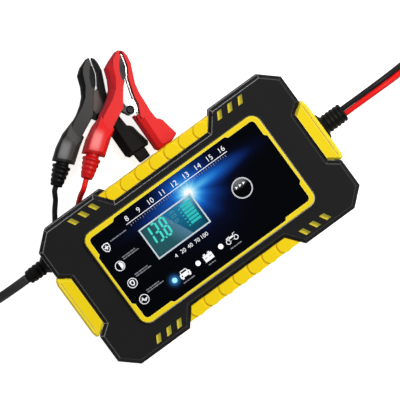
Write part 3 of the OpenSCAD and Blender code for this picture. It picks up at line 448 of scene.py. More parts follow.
def make_panel_finish():
    """Glossy black film with a printed blue burst of light beside the display."""
    material, tree, shader = new_material("panel_gloss", Emission_Strength=PANEL_GLOW,
                                          Specular_IOR_Level=0.03)
    x, y, _ = split(tree, place_of(tree))
    across, up = off_point(tree, x, y, BURST_AT)
    across2 = squared(tree, across)
    reach2 = calc(tree, "ADD", across2, squared(tree, up))
    to_right = calc(tree, "GREATER_THAN", across, 0)
    to_left = calc(tree, "SUBTRACT", 1, to_right)
    right = calc(tree, "MULTIPLY", glow_part(tree, across2, STREAK_RIGHT), to_right)
    left = calc(tree, "MULTIPLY", glow_part(tree, across2, STREAK_LEFT), to_left)
    slanted = calc(tree, "MULTIPLY_ADD", across, STREAK_TILT, calc(tree, "SUBTRACT", up, STREAK_ABOVE))
    streak = calc(tree, "MULTIPLY", bell(tree, squared(tree, slanted), STREAK_THICK),
                  calc(tree, "ADD", right, left))
    turned = calc(tree, "MULTIPLY", calc(tree, "ARCTAN2", up, across), RAY_COUNT)
    beams = calc(tree, "POWER", calc(tree, "ABSOLUTE", calc(tree, "COSINE", turned)), RAY_SHARPNESS)
    rays = calc(tree, "MULTIPLY", beams, glow_part(tree, reach2, RAYS))
    wide = calc(tree, "ADD", glow_part(tree, reach2, HAZE), rays)
    glow = calc(tree, "ADD", calc(tree, "MAXIMUM", streak, glow_part(tree, reach2, HALO)),
                calc(tree, "ADD", glow_part(tree, reach2, CORE), wide), clamp=True)
    lamp_x, lamp_y = off_point(tree, x, y, LAMP_AT)
    lamp = glow_part(tree, calc(tree, "ADD", squared(tree, lamp_x), squared(tree, lamp_y)), LAMP)
    colour = blend_colour(tree, lamp, ramp(tree, glow, BURST_STOPS), LAMP_TINT)
    dress(tree, shader, colour, grouped(tree, MOULDED, Grain_Scale=4000, Roughness=0.14, Spread=0.06))
    plug(tree, shader.inputs["Emission Color"], colour)
    return material


# the display: a paler slanted reflection on its left, and the burst's light in its corner
CELL_GLOW, CELL_GAIN = 0.5, 1.55
CELL_COLOURS = ((8, 82, 106), (24, 122, 170), (36, 89, 97), (84, 132, 160))
SLANT, SLANT_AT, SLANT_EDGE, SLANT_SHINE = 0.47, 8.65, -1.2, 0.1
RISE, RISE_FROM = 0.066, 0.13
CORNER = (5.5, 0.85)
CORNER_TINT = (0.3, 0.7, 0.85, 1)


def make_cell_finish():
    """The lit display cell: teal, with a paler slanted reflection on its left."""
    material, tree, shader = new_material("display_cell", Emission_Strength=CELL_GLOW,
                                          Specular_IOR_Level=0.1)
    x, y, _ = split(tree, place_of(tree))
    x, y = calc(tree, "DIVIDE", x, MM), calc(tree, "DIVIDE", y, MM)
    slant = calc(tree, "MULTIPLY_ADD", y, SLANT, calc(tree, "ADD", x, SLANT_AT))
    pale = calc(tree, "MULTIPLY_ADD", slant, SLANT_EDGE, 0.5, clamp=True)
    rise = calc(tree, "MULTIPLY_ADD", y, RISE, RISE_FROM, clamp=True)
    shine = calc(tree, "MULTIPLY_ADD", slant, SLANT_SHINE, 1, clamp=True)
    low, high, grey, pale_blue = [as_seen(*colour, CELL_GAIN) for colour in CELL_COLOURS]
    dark_side = blend_colour(tree, rise, low, high)
    pale_side = blend_colour(tree, shine, grey, pale_blue)
    near = [squared(tree, calc(tree, "SUBTRACT", value, at)) for value, at in zip((x, y), BURST_AT)]
    corner = glow_part(tree, calc(tree, "ADD", *near), CORNER)
    colour = blend_colour(tree, corner, blend_colour(tree, pale, dark_side, pale_side), CORNER_TINT)
    dress(tree, shader, colour, grouped(tree, MOULDED, Grain_Scale=5000, Roughness=0.3, Spread=0.05))
    plug(tree, shader.inputs["Emission Color"], colour)
    return material


def make_lens_finish():
    """The clear display window."""
    material, tree, shader = new_material("display_window", Alpha=0.03, Specular_IOR_Level=0.12)
    finish = grouped(tree, MOULDED, Colour=(0.02, 0.1, 0.12, 1), Shade=(0.02, 0.08, 0.1, 1), Roughness=0.05,
                     Spread=0.03)
    dress(tree, shader, finish.outputs["Colour"], finish)
    return material


# the button's painted reflection: how its crescent bows, how fast it brightens and where it starts
CRESCENT_BOW, CRESCENT_GAIN, CRESCENT_FROM = -0.05, 0.25, 0.1
BUTTON_REFLECTION_STOPS = [(0, (0.001, 0.001, 0.0015, 1)), (1, (0.15, 0.15, 0.165, 1))]


def make_button_finish():
    """Gloss black button with a paler crescent on its upper half, a painted reflection."""
    material, tree, shader = new_material("button_gloss", Specular_IOR_Level=0.05)
    x, y, _ = split(tree, place_of(tree))
    side, up = off_point(tree, x, y, (BUTTON.x / MM, BUTTON.y / MM))
    bow = calc(tree, "MULTIPLY_ADD", squared(tree, side), CRESCENT_BOW, up)
    shine = calc(tree, "MULTIPLY", calc(tree, "MULTIPLY", bow, CRESCENT_GAIN, clamp=True),
                 calc(tree, "GREATER_THAN", bow, CRESCENT_FROM))
    finish = grouped(tree, MOULDED, Roughness=0.12, Spread=0.05)
    dress(tree, shader, ramp(tree, shine, BUTTON_REFLECTION_STOPS), finish)
    return material


def clamp_turn(about_x, about_y):
    """How a clamp is turned from its own flat drawing, in degrees about X and then Y."""
    return Matrix.Rotation(math.radians(about_y), 3, "Y") @ Matrix.Rotation(math.radians(about_x), 3, "X")


CLAMP_PLACES = {"red": (mm(6, 73, 13.15), clamp_turn(0, 12.4)),
                "black": (mm(-9.3, 79.2, 5.2), clamp_turn(-1.14, 3.74))}
# the painted highlight on each boot: its way and its two reaches in millimetres
SPOT_WAY = Vector((0.79, 0.61, 0))
SPOT_LONG, SPOT_SHORT = 5.2, 2.6


def boot_highlight(colour, x, y, tint):
    """The painted highlight on a clamp's boot: a paler spot whose place is given on the clamp's flat
    drawing.
    """
    at, turn = CLAMP_PLACES[colour]
    return (at / MM + turn @ Vector((x, y, 4)), SPOT_WAY, SPOT_LONG, SPOT_SHORT, tint)


BOOT_HIGHLIGHTS = {"red": boot_highlight("red", -27.4, -6.9, linear(255, 150, 150)),
              "black": boot_highlight("black", -28.2, -7.3, linear(140, 140, 142))}
YELLOW = linear(244, 216, 14)
BLACK = linear(25, 25, 26)
RED = linear(226, 32, 32)
WHITE = (0.82, 0.83, 0.85, 1)
DULL_EDGE_HIGHLIGHT = linear(90, 90, 94)

# the finishes: most have the name of their slot in the record, and a few are for single pieces
# below, the edge colours are painted highlights, the flank colours painted shade, and the boot spots
# painted highlights
moulded("yellow_shell", YELLOW, linear(234, 202, 4), 0.42, edge_highlight=linear(255, 246, 110),
        edge_highlight_share=0.85, edge_highlight_width=0.7, on_case=True, grips=linear(244, 210, 8),
        painted_slot_glow=(0.22, 0.21, 0.03, 1), shine=0.16)
moulded("black_guard", BLACK, linear(21, 21, 22), 0.55, grain=3200, depth=0.00006,
        edge_highlight=linear(240, 240, 245), edge_highlight_share=0.85, away=0.1, edge_highlight_width=0.85, on_case=True,
        shine=0.12)
metal("zinc_steel", (0.58, 0.58, 0.6, 1), (0.45, 0.45, 0.48, 1), 0.35)
moulded("foot_rubber", (0.02, 0.02, 0.02, 1), (0.03, 0.03, 0.03, 1), 0.8, grain=1800)
make_panel_finish()
make_lens_finish()
make_cell_finish()
moulded("white_plastic", (0.75, 0.75, 0.73, 1), (0.68, 0.68, 0.66, 1), 0.5)
moulded("ring_metal", (0.62, 0.63, 0.66, 1), (0.56, 0.57, 0.6, 1), 0.3)
make_button_finish()
moulded("component_black", (0.025, 0.025, 0.027, 1), (0.035, 0.035, 0.037, 1), 0.5)
lit("blue_light", (0.3, 0.72, 1, 1), 0.75, (0.2, 0.4, 0.6, 1))
lit("white_pipe", (0.95, 0.96, 1, 1), 0.35, (0.9, 0.9, 0.92, 1))
moulded("circuit_board", (0.012, 0.11, 0.045, 1), (0.02, 0.16, 0.07, 1), 0.35, patch=300)
moulded("ferrite", (0.035, 0.035, 0.04, 1), (0.05, 0.05, 0.055, 1), 0.6, patch=200)
moulded("winding_tape", (0.72, 0.5, 0.08, 1), (0.62, 0.42, 0.06, 1), 0.35)
metal("heatsink_aluminium", (0.72, 0.73, 0.75, 1), (0.62, 0.63, 0.66, 1), 0.4)
moulded("capacitor_sleeve", (0.02, 0.025, 0.06, 1), (0.03, 0.035, 0.08, 1), 0.3)
metal("copper_winding", (0.62, 0.27, 0.08, 1), (0.5, 0.2, 0.05, 1), 0.3, axis=(1, 0, 0), pitch=0.0009,
      depth=0.0002)
moulded("fuse_glass", (0.8, 0.83, 0.82, 1), (0.7, 0.74, 0.73, 1), 0.1)
moulded("terminal_green", (0.03, 0.24, 0.1, 1), (0.04, 0.3, 0.13, 1), 0.45)
moulded("tail_blue", (0.04, 0.09, 0.36, 1), (0.05, 0.12, 0.42, 1), 0.4)
moulded("black_relief", linear(13, 13, 14), linear(9, 9, 10), 0.42, grain=1800, edge_highlight=DULL_EDGE_HIGHLIGHT,
        edge_highlight_share=0.25, shine=0.12)
moulded("black_cord", linear(34, 34, 36), linear(27, 27, 28), 0.42, grain=1500, patch=60)
moulded("black_wire", linear(30, 30, 32), linear(23, 23, 25), 0.38, grain=1500, patch=60, shine=0.12)
moulded("red_wire", linear(236, 26, 22), linear(224, 18, 16), 0.36, grain=1500, patch=60, shine=0.15)
moulded("black_cover", linear(78, 77, 76), linear(64, 63, 62), 0.4, grain=1200,
        edge_highlight=linear(110, 110, 114), edge_highlight_share=0.25, highlight_spot=BOOT_HIGHLIGHTS["black"],
        painted_flank_shade=linear(18, 18, 19), shine=0.1)
moulded("dark_cover", linear(27, 26, 27), linear(20, 20, 21), 0.4, grain=1200, edge_highlight=DULL_EDGE_HIGHLIGHT,
        edge_highlight_share=0.25, painted_flank_shade=linear(12, 12, 13), shine=0.1)
moulded("red_cover", RED, linear(218, 24, 26), 0.42, grain=1200, edge_highlight=linear(255, 104, 98),
        edge_highlight_share=0.25, highlight_spot=BOOT_HIGHLIGHTS["red"], painted_flank_shade=linear(168, 28, 36), shine=0.12)
metal("jaw_steel", (0.16, 0.125, 0.12, 1), (0.12, 0.09, 0.085, 1), 0.38, axis=(1, 0, 0))
# painted shade: the fixed jaws are nearly black, standing in for the shadow inside the jaws' opening
metal("jaw_in_shadow", (0.03, 0.03, 0.032, 1), (0.02, 0.02, 0.022, 1), 0.45, axis=(1, 0, 0))
metal("bright_jaw", (0.62, 0.6, 0.58, 1), (0.5, 0.48, 0.46, 1), 0.3, axis=(1, 0, 0))
metal("rivet_steel", (0.012, 0.012, 0.012, 1), (0.008, 0.008, 0.008, 1), 0.4)
metal("spring_steel", (0.22, 0.22, 0.23, 1), (0.16, 0.16, 0.17, 1), 0.35)
moulded("black_sleeve", linear(14, 14, 15), linear(9, 9, 10), 0.4, grain=1400, edge_highlight=DULL_EDGE_HIGHLIGHT,
        edge_highlight_share=0.2, shine=0.12)
moulded("red_sleeve", linear(206, 16, 22), linear(176, 10, 16), 0.36, grain=1400,
        edge_highlight=linear(240, 90, 90), edge_highlight_share=0.25, shine=0.2)
metal("pin_metal", (0.76, 0.76, 0.78, 1), (0.66, 0.66, 0.69, 1), 0.2, axis=(0, 1, 0))


def paint(piece, slot):
    """Gives a piece one finish."""
    piece.data.materials.clear()
    piece.data.materials.append(FINISHES[slot])


for part in frame["record"]["subparts"]:
    paint(nodes[part["node"]], part["material_slot"])
for node, finish in (("black_fixed_jaw", "jaw_in_shadow"), ("red_fixed_jaw", "jaw_in_shadow"),
                     ("red_moving_jaw", "bright_jaw"), ("black_moving_cover", "dark_cover")):
    paint(nodes[node], finish)


# ---------- rounded edges on the moulded pieces ----------
JOIN_WITHIN = 0.002 * MM
SEAM_WITHIN = 0.02 * MM
SHELL_EDGES, COVER_EDGES = 28, 20
COVER_ROUND = 0.5
RUBBER_SKIN, RUBBER_GROWN = 0.35, 0.35
JAW_CUT = 14.0


def join_points(piece):
    """Joins a piece's doubled points by a modifier."""
    piece.modifiers.new("joined points", "WELD").merge_threshold = JOIN_WITHIN


def soften(piece, width, angle=SHELL_EDGES):
    """Rounds a piece's sharp edges by modifiers, and leaves its mesh as it is."""
    join_points(piece)
    flat = piece.modifiers.new("plain faces", "DECIMATE")
    flat.decimate_type = "DISSOLVE"
    flat.angle_limit = math.radians(0.5)
    bevel = piece.modifiers.new("rounded edges", "BEVEL")
    bevel.width = width * MM
    bevel.segments = 3
    bevel.limit_method = "ANGLE"
    bevel.angle_limit = math.radians(angle)
    bevel.use_clamp_overlap = True
    smooth = piece.modifiers.new("even light", "WEIGHTED_NORMAL")
    smooth.keep_sharp = True


def melt(piece, passes):
    """Rounds a small ribbed piece all over, as soft rubber is, and leaves its mesh as it is."""
    join_points(piece)
    skin = piece.modifiers.new("even skin", "REMESH")
    skin.mode = "VOXEL"
    skin.voxel_size = RUBBER_SKIN * MM
    skin.use_smooth_shade = True
    rounded = piece.modifiers.new("rounded ribs", "SMOOTH")
    rounded.factor = 0.5
    rounded.iterations = passes
    swell = piece.modifiers.new("full again", "DISPLACE")
    swell.strength = RUBBER_GROWN * MM
    swell.mid_level = 0


def clamp_place(colour):
    """Sets a clamp's flat drawing where the clamp lies."""
    at, turn = CLAMP_PLACES[colour]
    return Matrix.Translation(at) @ turn.to_4x4()


def whole_red_jaw():
    """The red free cover with its jaw's whole tip: its own handle, with the black cover's jaw."""
    mesh = bpy.data.meshes.new("red_free_cover")
    shape = bmesh.new()
    for colour, keep_jaw in (("red", False), ("black", True)):
        cover = nodes[f"{colour}_moving_cover"]
        part = bmesh.new()
        part.from_mesh(cover.data)
        part.transform(clamp_place(colour).inverted() @ cover.matrix_world)
        bmesh.ops.remove_doubles(part, verts=part.verts, dist=JOIN_WITHIN)
        bmesh.ops.bisect_plane(part, geom=part.verts[:] + part.edges[:] + part.faces[:],
                               plane_co=mm(0, JAW_CUT, 0), plane_no=(0, 1, 0),
                               clear_outer=not keep_jaw, clear_inner=keep_jaw)
        half = bpy.data.meshes.new("half")
        part.to_mesh(half)
        part.free()
        shape.from_mesh(half)
        bpy.data.meshes.remove(half)
    bmesh.ops.remove_doubles(shape, verts=shape.verts, dist=SEAM_WITHIN)
    shape.transform(clamp_place("red"))
    shape.to_mesh(mesh)
    shape.free()
    piece = bpy.data.objects.new("red_free_cover", mesh)
    scene.collection.objects.link(piece)
    paint(piece, "red_cover")
    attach(piece, "red_clamp_half")
    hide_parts("red_moving_cover")
    soften(piece, COVER_ROUND, COVER_EDGES)


for name, width in (("front_guard", 0.25), ("rear_guard", 0.4), ("front_shell", 0.3), ("rear_shell", 0.4),
                    ("plug_body", 0.5)):
    soften(nodes[name], width)
for name in ("black_fixed_cover", "red_fixed_cover", "black_moving_cover"):
    soften(nodes[name], COVER_ROUND, COVER_EDGES)
whole_red_jaw()
for name, passes in (("black_sleeve", 18), ("red_sleeve", 36), ("output_relief", 18), ("mains_relief", 18)):
    melt(nodes[name], passes)


# ---------- cords ----------
UP = Vector((0, 0, 1))
LOBE = 112
# a cord that lies on the floor rests on a flat strip: its middle is this share of half its thickness up
PRESSED = 0.86


def along(points, steps):
    """A smooth curve through points, with so many steps between each two."""
    line = []
    ends = [2 * points[0] - points[1]] + points + [2 * points[-1] - points[-2]]
    for a, b, c, d in zip(ends, ends[1:], ends[2:], ends[3:]):
        for k in range(steps):
            t = k / steps
            line.append(0.5 * (2 * b + (c - a) * t + (2 * a - 5 * b + 4 * c - d) * t * t
                               + (3 * b - a - 3 * c + d) * t ** 3))
    return line + [points[-1]]


def round_section(radius, sides=20):
    """A wire's outline, cut across."""
    return [(radius * math.cos(2 * math.pi * k / sides), radius * math.sin(2 * math.pi * k / sides))
            for k in range(sides)]


def twin_section(width, height, sides=10):
    """Two cores side by side under one skin, with a shallow groove between them."""
    radius, apart = height / 2, (width - height) / 2
    lobe = [math.radians(-LOBE + 2 * LOBE * k / (sides - 1)) for k in range(sides)]
    right = [(apart + radius * math.cos(a), radius * math.sin(a)) for a in lobe]
    return right + [(-x, -y) for x, y in right]


def tube(name, line, section, start, end):
    """A closed tube along a line, upright as it lies; nothing of it goes below the floor."""
    verts, faces = [], []
    count, last = len(section), len(line) - 1
    for i, centre in enumerate(line):
        way = start if i == 0 else end if i == last else line[i + 1] - line[i - 1]
        side = way.cross(UP).normalized()
        up = side.cross(way).normalized()
        for x, z in section:
            point = centre + side * x + up * z
            verts.append((point.x, point.y, max(point.z, 0)))
    for i in range(last):
        for k in range(count):
            a, b = i * count + k, i * count + (k + 1) % count
            faces.append((a, b, b + count, a + count))
    faces.append(tuple(range(count))[::-1])
    faces.append(tuple(last * count + k for k in range(count)))
    mesh = bpy.data.meshes.new(name)
    mesh.from_pydata(verts, [], faces)
    mesh.polygons.foreach_set("use_smooth", [len(f) == 4 for f in faces])
    mesh.update()
    piece = bpy.data.objects.new(name, mesh)
    scene.collection.objects.link(piece)
    return piece


# the mains cord: flat, with two cores
MAINS_W, MAINS_T = 5.3, 3.3
CORD_Z, MAINS_Y, RELIEF_END, OUT_END = 26.0, 28.0, -93.5, 97.0
MAINS_LIES = MAINS_T / 2 * PRESSED
# its coil: the turns lie side by side a step apart, and one layer rises above the other
COIL_X, COIL_R = -165.0, 34.5
COIL_Y = MAINS_Y + COIL_R
TURN_GAP, LAYER_GAP = 0.7, 0.55
COIL_STEP, COIL_RISE = MAINS_W + TURN_GAP, MAINS_T + LAYER_GAP
COIL_IN, COIL_CLIMB = 2.425, 0.4
MAINS_POINTS = [
    (RELIEF_END, MAINS_Y, CORD_Z), (-100, MAINS_Y, CORD_Z - 0.2), (-106, MAINS_Y, CORD_Z - 2.6),
    (-113, MAINS_Y, 18), (-120, MAINS_Y, 11.5), (-127, MAINS_Y, 5.6), (-134, MAINS_Y, 2.3),
    (-142, MAINS_Y, MAINS_LIES), (-152, MAINS_Y, MAINS_LIES), (COIL_X + 5, MAINS_Y, MAINS_LIES),
    (COIL_X, MAINS_Y, MAINS_LIES)]


def coil_at(turn):
    """A point of the put-away coil, in millimetres: in on the floor, up, and out again on top."""
    up = max(0, min(1, (turn - COIL_IN) / COIL_CLIMB))
    inner = COIL_R - COIL_STEP * COIL_IN
    if turn < COIL_IN:
        radius = COIL_R - COIL_STEP * turn
    else:
        radius = inner + COIL_STEP * max(0, turn - COIL_IN - COIL_CLIMB)
    angle = math.radians(-90 - 360 * turn)
    return (COIL_X + radius * math.cos(angle), COIL_Y + radius * math.sin(angle),
            MAINS_LIES + COIL_RISE * up * up * (3 - 2 * up))


COIL_TURNS = COIL_IN * 2 + COIL_CLIMB
COIL_STEPS = 126
COIL_POINTS = [coil_at(i * COIL_TURNS / COIL_STEPS) for i in range(1, COIL_STEPS + 1)]
OUT_Z = COIL_POINTS[-1][2]
# the plug lies over both layers, and the cord turns into it on a smaller circle inside the coil
PLUG_CLEAR, PLUG_HALF = 0.1, 6.85
PLUG_Z = MAINS_LIES + COIL_RISE + MAINS_T / 2 + PLUG_CLEAR + PLUG_HALF
HALF_ROOT = math.sqrt(0.5)
TURN_R = COIL_R * HALF_ROOT / (1 + HALF_ROOT)
TURN_X = COIL_X - (COIL_R - TURN_R) * HALF_ROOT
TURN_Y = COIL_Y + (COIL_R - TURN_R) * HALF_ROOT
PLUG_Y = TURN_Y - 5


def on_circle(x, y, z, radius, degrees):
    """A point on a level circle, from its middle and an angle."""
    angle = math.radians(degrees)
    return (x + radius * math.cos(angle), y + radius * math.sin(angle), z)


# from the coil up over its turns, and round into the plug that lies across it
PLUG_POINTS = [on_circle(COIL_X, COIL_Y, OUT_Z + rise * COIL_RISE, COIL_R, angle)
               for angle, rise in ((-195, 0.25), (-210, 0.7), (-225, 1))]
TOP_Z = OUT_Z + COIL_RISE
PLUG_POINTS += [on_circle(TURN_X, TURN_Y, TOP_Z + rise * (PLUG_Z - TOP_Z), TURN_R, angle)
                for angle, rise in ((-255, 0.06), (-285, 0.2), (-315, 0.5), (-340, 0.78))]
PLUG_POINTS += [(COIL_X, PLUG_Y + 4.2, PLUG_Z - 0.15), (COIL_X, PLUG_Y, PLUG_Z)]
mains_line = along([mm(*p) for p in MAINS_POINTS + COIL_POINTS + PLUG_POINTS], 3)
mains = tube("mains_flex", mains_line, twin_section(MAINS_W * MM, MAINS_T * MM), Vector((-1, 0, 0)),
             Vector((0, -1, 0)))
paint(mains, "black_cord")
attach(mains, "charger")
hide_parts("mains_cord", "mains_coil", "mains_cord_end")

# the output lead: two wires side by side that part under the case and run to the clamps
WIRE = 3.0
HALF = WIRE / 2
LIES = HALF * PRESSED
LEAD_POINTS = [
    (OUT_END, 0, CORD_Z), (104, 0, CORD_Z), (112, 0, CORD_Z - 0.1), (119, 0, 25.6), (126, 0, 24.2),
    (132, 0, 21.4), (137, 0, 17.4), (141, -0.1, 13.2), (145, -0.8, 9.2), (150, -2.4, 5.4),
    (157, -5.8, 2.4), (165, -10.2, LIES), (174, -15, LIES), (184, -19, LIES), (195, -20, LIES),
    (206, -16, LIES), (213, -7, LIES), (215, 4, LIES), (211, 14, LIES), (202, 21, LIES),
    (191, 22, LIES), (180, 18, LIES), (171, 13, LIES), (162, 8, LIES), (153, 3.2, LIES),
    (145, 0, LIES), (137, -1.4, LIES), (128, -1.6, LIES), (112, -1.5, LIES), (92, -1.3, LIES),
    (70, -1, LIES), (48, -1, LIES), (26, -1, LIES), (4, -1, LIES), (-12, -1, LIES),
    (-22, -1, LIES)]
RED_POINTS = [
    (-28, 0.55, LIES), (-34.4, 0.6, LIES), (-44.7, 2.8, LIES), (-53, 9.2, LIES), (-57.9, 18.5, LIES),
    (-58.3, 29, LIES), (-55.6, 36.6, 2), (-52.2, 40.8, 4.6), (-49.8, 43, 8.8), (-47.5, 44.9, 13.8),
    (-44.8, 47, 18.4)]
BLACK_POINTS = [
    (-30, -2.55, LIES), (-41.3, -2.5, LIES), (-53.6, 0.2, LIES), (-63.5, 7.8, LIES), (-69.3, 19, LIES),
    (-69.9, 31.2, LIES), (-66.7, 40.3, 2.8), (-63.9, 45, 4.2), (-61, 49, 5.4), (-57.6, 53, 6.3)]
OUT_WAY = Vector((1, 0, 0))
WIRE_GAP = 0.04
SLEEVE_ANGLE = math.radians(218)
SLEEVE_WAY = Vector((-math.cos(SLEEVE_ANGLE), -math.sin(SLEEVE_ANGLE), 0))
SLEEVE_ROOT, SLEEVE_LONG, SLEEVE_HOLD = mm(-33.3, -12.2, 0), 13 * MM, 3
SLEEVE_END = SLEEVE_ROOT - SLEEVE_LONG * SLEEVE_WAY
# each wire: its side of the lead, its own way to the clamp, and how far before the sleeve it hangs lowest
WIRES = {"red": (1, RED_POINTS, 6.4), "black": (-1, BLACK_POINTS, 0)}
HANG = mm(0, 0, -0.6)
lead_middle = along([mm(*p) for p in LEAD_POINTS], 2)


def wire_line(colour):
    """One wire of the lead from the case to its clamp, and the way that it goes in there."""
    at, turn = CLAMP_PLACES[colour]
    hand, own, lowest = WIRES[colour]
    line, last = [], len(lead_middle) - 1
    for i, point in enumerate(lead_middle):
        way = OUT_WAY if i == 0 else -OUT_WAY if i == last else lead_middle[i + 1] - lead_middle[i - 1]
        line.append(point + way.cross(UP).normalized() * hand * (HALF + WIRE_GAP) * MM)
    end, way = at + turn @ SLEEVE_END, turn @ SLEEVE_WAY
    tail = [mm(*p) for p in own]
    if lowest:
        tail.append(end - way * lowest * MM + HANG)
    tail += [end - way * SLEEVE_HOLD * MM, end]
    parted = along([line[-1]] + tail, 2)
    return along(line + parted[1:], 3), way


for colour in WIRES:
    line, way = wire_line(colour)
    wire = tube(f"{colour}_wire", line, round_section(HALF * MM), OUT_WAY, way)
    paint(wire, f"{colour}_wire")
    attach(wire, "charger")
    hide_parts(f"lead_{colour}")
    on_it = [nodes[n] for n in sorted(nodes) if n.startswith(f"{colour}_")]
    if colour == "red":
        on_it.append(nodes["output_relief"])


# ---------- print on the panel ----------
PRINT_THICK = 0.03
CAPITAL = 0.7


def printed(name, mesh, finish, body="charger"):
    """Makes a piece of a printed mesh."""
    mesh.materials.clear()
    mesh.materials.append(finish)
    piece = bpy.data.objects.new(name, mesh)
    scene.collection.objects.link(piece)
    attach(piece, body)


def stencil(name, loops, level, finish, body="charger", thick=PRINT_THICK):
    """Flat printed shapes, from closed loops of points in millimetres; a loop inside another is a hole."""
    curve = bpy.data.curves.new(name, "CURVE")
    curve.dimensions = "2D"
    curve.fill_mode = "BOTH"
    curve.extrude = thick * MM / 2
    for loop in loops:
        spline = curve.splines.new("POLY")
        spline.points.add(len(loop) - 1)
        for point, (x, y) in zip(spline.points, loop):
            point.co = (x * MM, y * MM, 0, 1)
        spline.use_cyclic_u = True
    shape = bpy.data.objects.new(name + "_outline", curve)
    scene.collection.objects.link(shape)
    bpy.context.view_layer.update()
    mesh = bpy.data.meshes.new_from_object(shape.evaluated_get(bpy.context.evaluated_depsgraph_get()))
    bpy.data.objects.remove(shape)
    mesh.transform(Matrix.Translation((0, 0, level + thick * MM / 2)))
    printed(name, mesh, finish, body)


def figures_at(name, entries, height):
    """Plain numbers printed on the panel, each (figures, x, y) in millimetres."""
    texts = []
    for k, (words, x, y) in enumerate(entries):
        data = bpy.data.curves.new(f"{name}_{k}", "FONT")
        data.body = words
        data.size = height * MM / CAPITAL
        data.extrude = PRINT_THICK * MM / 2
        data.align_x = "CENTER"
        text = bpy.data.objects.new(f"{name}_{k}", data)
        scene.collection.objects.link(text)
        text.location = (x * MM, y * MM, PANEL_TOP + PRINT_THICK * MM / 2)
        texts.append(text)
    bpy.context.view_layer.update()
    graph = bpy.context.evaluated_depsgraph_get()
    verts, faces = [], []
    for text in texts:
        part = bpy.data.meshes.new_from_object(text.evaluated_get(graph))
        part.transform(text.matrix_world)
        start = len(verts)
        verts += [tuple(v.co) for v in part.vertices]
        faces += [tuple(start + i for i in p.vertices) for p in part.polygons]
        bpy.data.meshes.remove(part)
        bpy.data.objects.remove(text)
    mesh = bpy.data.meshes.new(name)
    mesh.from_pydata(verts, [], faces)
    printed(name, mesh, PRINT_WHITE)


def rect(x0, y0, x1, y1):
    """A rectangle's corners, from two that face each other."""
    return [(x0, y0), (x1, y0), (x1, y1), (x0, y1)]


def disc(x, y, radius, steps=36):
    """A filled circle's outline."""
    return [(x + radius * math.cos(2 * math.pi * k / steps), y + radius * math.sin(2 * math.pi * k / steps))
            for k in range(steps)]


def hoop(x, y, radius, line):
    """A ring, drawn with a line of some width."""
    return [disc(x, y, radius), disc(x, y, radius - line)]


def frame_of(x0, y0, x1, y1, line):
    """An open rectangle, drawn with a line of some width."""
    return [rect(x0, y0, x1, y1), rect(x0 + line, y0 + line, x1 - line, y1 - line)]


def bar(x0, y0, x1, y1, line):
    """A straight stroke between two points."""
    way = Vector((x1 - x0, y1 - y0)).normalized() * line / 2
    ends = ((x0, y0, 1), (x0, y0, -1), (x1, y1, -1), (x1, y1, 1))
    return [(x - way.y * hand, y + way.x * hand) for x, y, hand in ends]


PRINT_WHITE = lit("print_white", (0.9, 0.91, 0.93, 1), 0.2, WHITE, roughness=0.45)
PRINT_GREY = lit("print_grey", (0.22, 0.23, 0.26, 1), 0.1, (0.2, 0.21, 0.24, 1), roughness=0.45)
DIGIT_LIGHT = lit("digit_light", (0.04, 0.7, 0.58, 1), 1.0, (0.01, 0.1, 0.09, 1))
BAR_LIGHT = lit("bar_light", (0.005, 0.46, 0.44, 1), 1.0, (0.005, 0.1, 0.09, 1))
DIM_LIGHT = lit("dim_light", (0.06, 0.24, 0.28, 1), 0.9, (0.02, 0.08, 0.09, 1))
FRAME_LIGHT = lit("frame_light", (0.55, 0.63, 0.68, 1), 0.2, (0.5, 0.56, 0.6, 1))

stencil("display_frame", frame_of(-30.1, -4.6, 4.3, 14.6, 0.8), PANEL_TOP, FRAME_LIGHT, thick=0.08)

# seven-segment digits: which of the segments a to g each digit lights
SEGMENTS = {"1": "bc", "3": "abgcd", "8": "abcdefg"}
DIGIT_GAP, DIGIT_LEAN = 0.18, 0.06


def segment(x0, y0, x1, y1, half):
    """A six-sided stroke with pointed ends, level or upright."""
    ends = ((x0, y0, 0, 0), (x0, y0, half, half), (x1, y1, -half, half), (x1, y1, 0, 0),
            (x1, y1, -half, -half), (x0, y0, half, -half))
    if y0 == y1:
        return [(x + forth, y + out) for x, y, forth, out in ends]
    return [(x + out, y + forth) for x, y, forth, out in ends]


def digit(figure, x, y, width, height, line):
    """One lit figure, leaning a little."""
    middle, shapes = height / 2, {}
    for name, level in (("a", height), ("g", middle), ("d", 0)):
        shapes[name] = segment(DIGIT_GAP, level, width - DIGIT_GAP, level, line / 2)
    for name, place, foot in (("b", width, middle), ("c", width, 0), ("f", 0, middle), ("e", 0, 0)):
        shapes[name] = segment(place, foot + DIGIT_GAP, place, foot + middle - DIGIT_GAP, line / 2)
    return [[(x + px + DIGIT_LEAN * py, y + py) for px, py in shapes[s]] for s in SEGMENTS[figure]]


CELL_PRINT = CELL_TOP + 0.005 * MM
DIGIT_Y, DIGIT_W, DIGIT_H, DIGIT_LINE = 2.7, 2.7, 10.2, 1.15
figures = []
for figure, x in (("1", -28.3), ("3", -23.9), ("8", -18.6)):
    figures += digit(figure, x, DIGIT_Y, DIGIT_W, DIGIT_H, DIGIT_LINE)
figures.append(rect(-20.3, 2.2, -19.4, 3.2))
stencil("display_figures", figures, CELL_PRINT, DIGIT_LIGHT)

marks = [bar(-13.9, 8.6, -13.1, 6.4, 0.35), bar(-12.3, 8.6, -13.1, 6.4, 0.35)]
marks += frame_of(-11.4, 8.8, -8.6, 10.2, 0.3) + frame_of(-11.0, 5.9, -9.2, 7.4, 0.3)
marks += [rect(-11.6, 11.3, -8.2, 11.6), rect(-11.0, 12.1, -8.8, 12.4)]
stencil("display_marks", marks, CELL_PRINT, DIM_LIGHT)

BAR_PITCH, BAR_COUNT = 2.05, 6
bar_levels = [BAR_PITCH * k for k in range(BAR_COUNT)]
bars = [rect(-4.6, 0.2 + level, 1.7, 1.7 + level) for level in bar_levels]
bars += [rect(-6.4, 0.2 + level, -5.2, 0.75 + level) for level in bar_levels]
stencil("display_bars", bars, CELL_PRINT, BAR_LIGHT)


